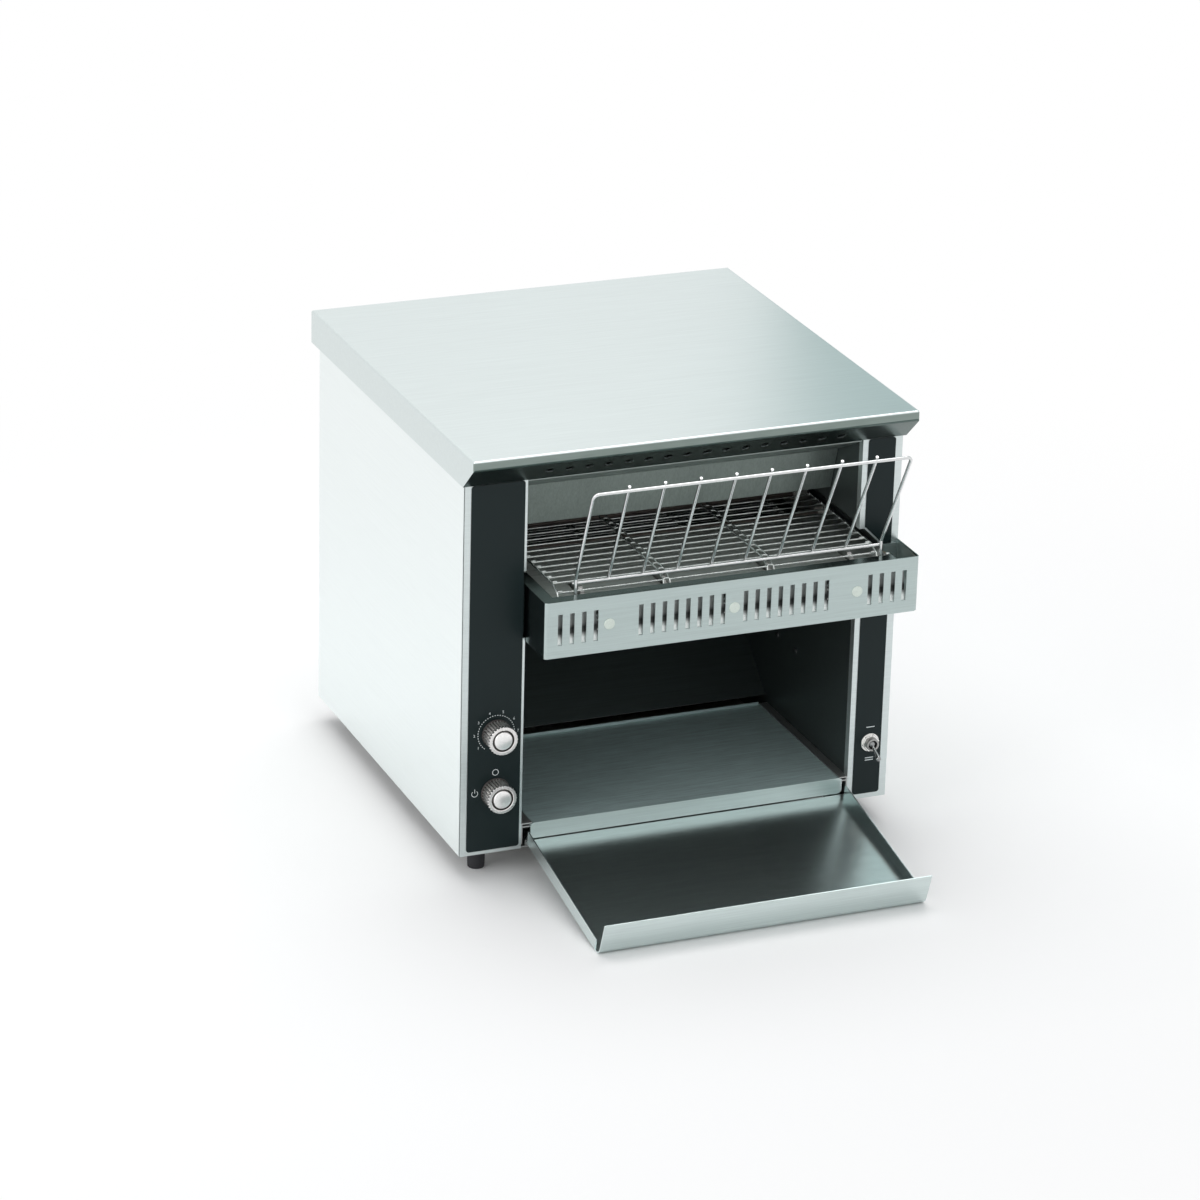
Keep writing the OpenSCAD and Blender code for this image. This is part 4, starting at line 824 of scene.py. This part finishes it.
class TOASTER_OT_belt(ToasterStep):
    """Weave the belt from bent wires set out round both shafts"""
    bl_idname = "toaster.belt"
    bl_label = "Wire belt"

    def execute(self, context):
        wire = context.scene.toaster_wire.belt_wire
        low, high = node_box("conveyor_belt")
        # Each shaft takes nine links a turn, and its half turn has four
        pitch, count, turn_count = 12.7, 58, 9
        radius = pitch / (2 * math.sin(math.radians(20)))
        nose_y, top = -11.0, 252.0
        shaft_z = top - radius
        rear_y = nose_y + (count - turn_count) * pitch / 2
        run, bend, step = (count - turn_count) // 2 + 1, (turn_count - 1) // 2, 360 / turn_count

        def round_shaft(y, start):
            angles = [math.radians(start - step * (i + 0.5)) for i in range(bend)]
            return [(y + radius * math.cos(a), shaft_z + radius * math.sin(a)) for a in angles]

        # Depth and height of each wire: along the top, round the rear, back below and round the nose
        stations = [(nose_y + i * pitch, top) for i in range(run)] + round_shaft(rear_y, 90)
        stations += [(rear_y - i * pitch, shaft_z - radius) for i in range(run)] + round_shaft(nose_y, 270)

        # One wire seen from its middle: a hook at each end and two bends that catch the next wire
        width, d = high[0] - low[0], wire / MM
        hook = [(5.5, pitch + 0.9, d * 0.55), (d / 2, pitch + 0.9, d * 0.55), (d / 2, 0, 0)]
        loop = [(2.6, 0, 0), (3.2, pitch * 0.62, d * 0.5), (2.7, pitch + 1.0, d * 0.7)]
        path = [(x - width / 2, y, z) for x, y, z in hook]
        for share in (0.337, 0.661):
            middle = (share - 0.5) * width
            path += [(middle - x, y, z) for x, y, z in loop]
            path += [(middle + x, y, z) for x, y, z in loop[::-1]]
        path += [(width / 2 - x, y, z) for x, y, z in hook[::-1]]
        link = wire_piece("belt_link_pattern", [[Vector([v * MM for v in p]) for p in path]], wire,
                          "belt_wire", 0.0012, 8, 3)
        places, turns = [], []
        for (y, z), (y2, z2) in zip(stations, stations[1:] + stations[:1]):
            places.append(spot((low[0] + high[0]) / 2, y, z))
            turns.append((math.atan2(z2 - z, y2 - y), 0, 0))
        fit_in(set_out("woven_belt", link, places, turns, "belt_wire", 60), "housing", "conveyor_belt")
        return {"FINISHED"}


class TOASTER_OT_rack(ToasterStep):
    """Bend the leaning loading rack and weld its bars"""
    bl_idname = "toaster.rack"
    bl_label = "Loading rack"

    def execute(self, context):
        values = context.scene.toaster_wire
        bar_y, bar_z, rise, lean, bars, wire, sink = -28.4, 257.3, 98.7, 49.6, 8, 3.0, 0.5
        foot_y, foot_z = bar_y - wire + sink, 239.7
        low_x = (OPENING[0] + 33.5, OPENING[1] + 6.7)
        high_x = (OPENING[0] + 28.5, OPENING[1] + 9.2)
        top_y, top_z = bar_y - lean, bar_z + rise
        knee = (bar_y - foot_y) / lean
        knees = [a + knee * (b - a) for a, b in zip(low_x, high_x)]
        left, right = ([spot(x, foot_y, foot_z), spot(x, foot_y, bar_z + knee * rise),
                        spot(x_top, top_y, top_z)] for x, x_top in zip(knees, high_x))
        bent = wire_piece("rack_bent_wire", [left + right[::-1]], values.rack_wire, "bright_wire",
                          values.bend_radius, 16, 8)
        fit_in(bent, "wire_rack", "wire_rack")

        # The bars lie on the bent wire, sunk into it a little, and reach past it
        length = math.hypot(rise, lean)
        off_y, off_z = rise / length * (wire - sink), lean / length * (wire - sink)
        extra = 3.0 / length
        paths = [[spot(knees[0] - 2.5, bar_y, bar_z), spot(knees[1] + 2.5, bar_y, bar_z)]]
        for k in range(1, bars + 1):
            f = k / (bars + 1)
            a = spot(low_x[0] + f * (low_x[1] - low_x[0]), bar_y + off_y, bar_z + off_z)
            b = spot(high_x[0] + f * (high_x[1] - high_x[0]), top_y + off_y, top_z + off_z)
            paths.append([a - (b - a) * extra / 2, b + (b - a) * extra])
        welded = wire_piece("rack_welded_bars", paths, values.rack_wire, "bright_wire", 0.0, 16, 1)
        soften(welded, 0.3 * MM, 2, 40)
        fit_in(welded, "wire_rack", "wire_rack")
        return {"FINISHED"}


class TOASTER_OT_deck(ToasterStep):
    """Give the toast deck's sheet its finishes and deburred edges"""
    bl_idname = "toaster.deck"
    bl_label = "Toast deck"

    def execute(self, context):
        front = node_box("toast_deck")[0][1]
        piece = put("deck_sheet", merged_copy("toast_deck"), "deck_steel")
        # Painted light on the deck's front lip face
        paint(piece, "lip_steel", lambda n, x, y, z: n.y < -0.9 and y < front + 0.3)
        soften(piece)
        fit_in(piece, "toast_deck", "toast_deck")
        return {"FINISHED"}


class TOASTER_OT_tray(ToasterStep):
    """Fold the sloping front tray with its rounded lip"""
    bl_idname = "toaster.tray"
    bl_label = "Front tray"

    def execute(self, context):
        left, right = (corner[0] for corner in node_box("front_tray"))
        # Side view: the lip's top, the corner under it, and the back edge under the deck's lip
        deck_lip_low, gap = 8.5, 0.3
        lip, foot, back = (Vector(p) for p in (
            (-187.0, 9.0), (-175.0, -FOOT), (-1.6, deck_lip_low - gap - 1.5 * SHEET)))
        path = rounded_corner(lip, foot, back, 9.0, 8)
        # The rounded corner is let down on the counter
        drop = -FOOT - min(p.y for p in path)
        path = [Vector((p.x, p.y + drop * (1 - (p.x - foot.x) / (back.x - foot.x))))
                if p.x > lip.x + 0.5 else p for p in path]
        bm = bmesh.new()
        prism(bm, outline_sheet(path, SHEET), "X", left, right)
        start = path[-2]
        slope = (back - start).normalized()
        normal = slope.orthogonal()
        a = start + slope * 1.5 + normal * 0.6
        b = start + slope * ((-5 - start.x) / slope.x) + normal * 0.6
        rail = [a, b, b + normal * 12.4, a + normal * 10.6]
        for x in (left, right - SHEET):
            prism(bm, rail, "X", x, x + SHEET)
        tongue = 16
        for x in (left + 2 * SHEET, right - 2 * SHEET - tongue):
            slab(bm, (x, x + tongue), (back.x - SHEET, 6), (back.y, back.y + SHEET))
        piece = put("tray_sheet", bm, "tray_steel")
        # Painted light on the tray's front-facing lip and its end faces
        paint(piece, "lip_steel", lambda n, x, y, z: (
            n.y < -0.4 or (abs(n.x) > 0.9 and not left + 0.3 < x < right - 0.3)))
        soften(piece)
        fit_in(piece, "front_tray", "front_tray")
        return {"FINISHED"}


class TOASTER_OT_knobs(ToasterStep):
    """Turn the fluted knobs with their rings and caps"""
    bl_idname = "toaster.knobs"
    bl_label = "Knobs"

    def execute(self, context):
        flutes = context.scene.toaster_control.flutes
        for name, (mid_x, mid_z) in KNOBS.items():
            place = facing_front(mid_x, 0, mid_z)

            def out(x, z):
                return math.hypot(x - mid_x, z - mid_z)

            bm = bmesh.new()
            turned(bm, [(12.6, 1.1), (13.3, 1.1), (13.3, 2.4), (12.9, 2.7)], place, 96)
            turned(bm, [(12.9, 2.5), (12.75, 3.0), (12.55, 16.2), (12.3, 16.6)], place, flutes * 8,
                   grooved=range(4), groove=(flutes, 0.13, 1.5))
            grip = put(name + "_grip", bm, "grip_metal")
            # Painted shade on the flutes' floors and on the grip's back next to the panel
            paint(grip, "grip_groove", lambda n, x, y, z: (out(x, z) < 11.7 and abs(n.y) < 0.5) or y > -2.9)
            fit_in(grip, name, name)
            bm = bmesh.new()
            turned(bm, [(12.4, 16.0), (13.6, 16.3), (13.75, 17.3), (13.5, 18.6), (12.9, 19.2), (10.6, 19.3),
                        (10.0, 18.9), (9.8, 16.9), (9.2, 16.9), (2.0, 16.9)], place, flutes * 8,
                   grooved=range(1, 4), groove=(flutes, 0.09))
            ring = put(name + "_ring", bm, "ring_metal")
            # Painted shade in the recess inside the ring, round the cap
            paint(ring, "grip_groove", lambda n, x, y, z: out(x, z) < 10.1)
            fit_in(ring, name, name + "_cap")
            bm = bmesh.new()
            turned(bm, [(8.4, 16.8), (8.4, 18.7), (8.0, 19.3), (7.2, 19.6), (0.3, 19.7)], place, 64)
            slab(bm, (mid_x - 0.55, mid_x + 0.55), (-19.75, -18.4), (mid_z + 10.3, mid_z + 13.1))
            fit_in(put(name + "_face", bm, "cap_metal"), name, name + "_cap")
        return {"FINISHED"}


class TOASTER_OT_toggle(ToasterStep):
    """Make the toggle switch's lever, nut and ring"""
    bl_idname = "toaster.toggle"
    bl_label = "Toggle switch"

    def execute(self, context):
        (x, z), pivot = TOGGLE, -4.2
        ball = Matrix.Translation(spot(x, pivot, z))
        bm = bmesh.new()
        bmesh.ops.create_uvsphere(bm, u_segments=24, v_segments=16, radius=3.85 * MM, matrix=ball)
        turned(bm, [(1.9, 2.6), (1.45, 4.4), (1.35, 7.0), (1.5, 11.0), (2.1, 15.2), (2.45, 17.4),
                    (2.3, 18.9), (1.5, 19.6), (0.2, 19.7)],
               ball @ Matrix.Rotation(math.radians(90 + 28), 4, "X"), 28)
        # The lever's chrome carries a painted dark reflection
        fit_in(put("toggle_bat", bm, "dark_chrome", 50), "toggle_lever", "toggle_lever")

        # A washer, and on it a hexagon nut with a round hole
        foot, shoulder, top, hole, start = 0.8, 2.75, 3.2, 5.95, math.radians(12)
        corner = 14.3 / math.sqrt(3)
        bm = bmesh.new()
        front = facing_front(x, -foot, z)
        turned(bm, [(8.75, 0), (8.75, 0.55), (8.5, foot), (6.0, foot), (6.0, 0)], front, 48, ends=False)
        rings = [circle(bm, front, r, h, 6, start)
                 for r, h in ((corner, foot), (corner, shoulder), (corner - 0.45, top))]
        for lower, upper in zip(rings, rings[1:]):
            bridge(bm, lower, upper)
        inner = circle(bm, front, hole, top, 24, start)
        for k in range(6):
            bm.faces.new([rings[-1][k], rings[-1][(k + 1) % 6]]
                         + [inner[(4 * k + j) % 24] for j in range(4, -1, -1)])
        bridge(bm, inner, circle(bm, front, hole, foot, 24, start))
        bmesh.ops.recalc_face_normals(bm, faces=bm.faces)
        nut = put("toggle_hex_nut", bm, "polished", 20)
        soften(nut, 0.15 * MM, 1, 30)
        fit_in(nut, "housing", "toggle_nut")
        return {"FINISHED"}


class TOASTER_OT_marks(ToasterStep):
    """Print the dial's ticks and numbers and the plain symbols on the panels"""
    bl_idname = "toaster.marks"
    bl_label = "Printed marks"

    def execute(self, context):
        back, front = -0.78, -0.86
        bm = bmesh.new()

        def arc(cx, cz, r, w, start, stop, steps=28):
            """A band round a middle, between two clockwise angles from the top."""
            turns = [math.radians(start + (stop - start) * k / steps) for k in range(steps + 1)]
            outer, inner = ([(cx + reach * math.sin(a), cz + reach * math.cos(a)) for a in turns]
                            for reach in (r + w / 2, r - w / 2))
            for k in range(steps):
                prism(bm, [outer[k], outer[k + 1], inner[k + 1], inner[k]], "Y", front, back)

        def bar(x, z, width, height):
            slab(bm, (x - width / 2, x + width / 2), (front, back), (z - height / 2, z + height / 2))

        # Ticks round the speed knob, then off and on by the power knob
        speed_x, speed_z = KNOBS["speed_knob"]
        for k in range(36):
            arc(speed_x, speed_z, 16.9, 0.75, 8 * k - 141.7, 8 * k - 138.3, 1)
        arc(speed_x, 77.0, 2.7, 0.55, 0, 360)
        arc(-192.0, 59.0, 2.8, 0.5, 42, 318)
        bar(-192.0, 61.45, 0.5, 3.7)
        # Plain bars by the toggle: one above, two below
        for rise in (15.0, -15.0, -17.2):
            bar(TOGGLE[0], TOGGLE[1] + rise, 8.0, 0.8)
        fit_in(put("printed_symbols", bm, "marks"), "housing")

        reach = 20.3
        for k in range(8):
            a = math.radians(-126 + 36 * k)
            curve = adjust(bpy.data.curves.new("numeral", "FONT"), body=str(k + 1), size=3.4 * MM,
                           align_x="CENTER", align_y="CENTER", extrude=0.04 * MM)
            mesh = evaluated(add("numeral", curve))
            bpy.data.curves.remove(curve)
            mesh.transform(facing_front(speed_x + reach * math.sin(a), -0.82,
                                        speed_z + reach * math.cos(a)))
            mesh.materials.clear()
            mesh.materials.append(finish("marks"))
            fit_in(add("dial_number_%d" % (k + 1), mesh), "housing")
        return {"FINISHED"}


class TOASTER_OT_screws(ToasterStep):
    """Set out the panel screws and make the feet"""
    bl_idname = "toaster.screws"
    bl_label = "Screws and feet"

    def execute(self, context):
        bm = bmesh.new()
        turned(bm, [(1.5, -5.0), (1.5, 0), (3.0, 0), (3.0, 0.5), (2.75, 1.2), (2.1, 1.62), (1.2, 1.78),
                    (0.3, 1.8)], Matrix.Identity(4), 24)
        pattern = put("screw_pattern", bm, "polished")
        bm = bmesh.new()
        for width, height in ((0.7, 3.0), (3.0, 0.7)):
            size = Matrix.Diagonal((width * MM, height * MM, 1.3 * MM, 1))
            bmesh.ops.create_cube(bm, size=1, matrix=Matrix.Translation((0, 0, 1.55 * MM)) @ size)
        cutter = put("cross_recess", bm, "polished")
        adjust(pattern.modifiers.new("Cross recess", "BOOLEAN"), operation="DIFFERENCE", object=cutter,
               use_self=True, solver="EXACT")
        recessed = evaluated(pattern)
        pattern.modifiers.clear()
        pattern.data = recessed
        bpy.data.objects.remove(cutter)

        quarter = math.pi / 2
        inner = set_out("wall_screw_heads", add("wall_screw_pattern", recessed.copy()),
                        [spot(OPENING[1], y, 98) for y in (120.6, 161.0)], [(0, -quarter, 0)] * 2,
                        "dark_screw")
        fit_in(inner, "housing", "panel_screws")
        places = [spot(195, -2, z) for z in (210.5, 234.5)]
        places += [spot(x, REAR_FACE, z) for z in (24, 188.6, 317.2) for x in (-197.8, 197.8)]
        turns = [(quarter, 0, 0)] * 2 + [(-quarter, 0, 0)] * 6
        screws = set_out("panel_screw_heads", pattern, places, turns, "polished")
        fit_in(screws, "housing", "panel_screws")

        bm = bmesh.new()
        turned(bm, [(7.0, 0), (7.5, 0.6), (7.7, 4.0), (8.2, 22.2), (8.25, FOOT), (3.0, FOOT)],
               Matrix.Identity(4), 40)
        pattern = put("foot_pattern", bm, "foot_rubber")
        places = [spot(x, y, -FOOT) for x in (-180, 180) for y in (25, 348.8)]
        fit_in(set_out("rubber_feet", pattern, places, [(0, 0, 0)] * 4, "foot_rubber"), "housing", "feet")
        return {"FINISHED"}


class TOASTER_OT_guard(ToasterStep):
    """Bend the fan's wire guard"""
    bl_idname = "toaster.guard"
    bl_label = "Fan guard"

    def execute(self, context):
        x, z, wire, reach, steps = -100.0, 62.0, 2.2, 38.0, 64
        ring = [2 * math.pi * k / steps for k in range(steps + 1)]
        paths = [[spot(x + share * reach * math.cos(a), REAR_FACE + wire / 2,
                       z + share * reach * math.sin(a)) for a in ring]
                 for share in (0.28, 0.52, 0.76, 1.0)]
        for turn in (45, 135):
            c, s = (f(math.radians(turn)) * (reach + 4) for f in (math.cos, math.sin))
            paths.append([spot(x + way * c, REAR_FACE + wire * 1.3, z + way * s) for way in (-1, 1)])
        guard = wire_piece("fan_wire_guard", paths, wire * MM, "bright_wire", 0.0, 10, 1)
        fit_in(guard, "housing", "fan_guard")
        return {"FINISHED"}


STEPS = (TOASTER_OT_finishes, TOASTER_OT_stage, TOASTER_OT_kept_solids, TOASTER_OT_cover,
         TOASTER_OT_bracket, TOASTER_OT_belt, TOASTER_OT_rack, TOASTER_OT_deck, TOASTER_OT_tray,
         TOASTER_OT_knobs, TOASTER_OT_toggle, TOASTER_OT_marks, TOASTER_OT_screws, TOASTER_OT_guard)


class TOASTER_PT_panel(bpy.types.Panel):
    bl_idname = "TOASTER_PT_panel"
    bl_label = "Conveyor toaster"
    bl_space_type = "VIEW_3D"
    bl_region_type = "UI"
    bl_category = "Toaster"

    def draw(self, context):
        for group in GROUPS:
            values = getattr(context.scene, group)
            box = self.layout.box()
            for name in values.__annotations__:
                box.prop(values, name)
        for step in STEPS:
            self.layout.operator(step.bl_idname)


GROUPS = {"toaster_metal": MetalSettings, "toaster_wire": WireSettings,
          "toaster_control": ControlSettings, "toaster_stage": StageSettings}


def register():
    for cls in (*GROUPS.values(), *STEPS, TOASTER_PT_panel):
        bpy.utils.register_class(cls)
    for name, cls in GROUPS.items():
        setattr(bpy.types.Scene, name, PointerProperty(type=cls))


def unregister():
    for name in GROUPS:
        delattr(bpy.types.Scene, name)
    for cls in (TOASTER_PT_panel, *reversed(STEPS), *GROUPS.values()):
        bpy.utils.unregister_class(cls)


def main():
    register()
    for step in STEPS:
        kind, name = step.bl_idname.split(".")
        getattr(getattr(bpy.ops, kind), name)()


if __name__ == "__main__":
    main()
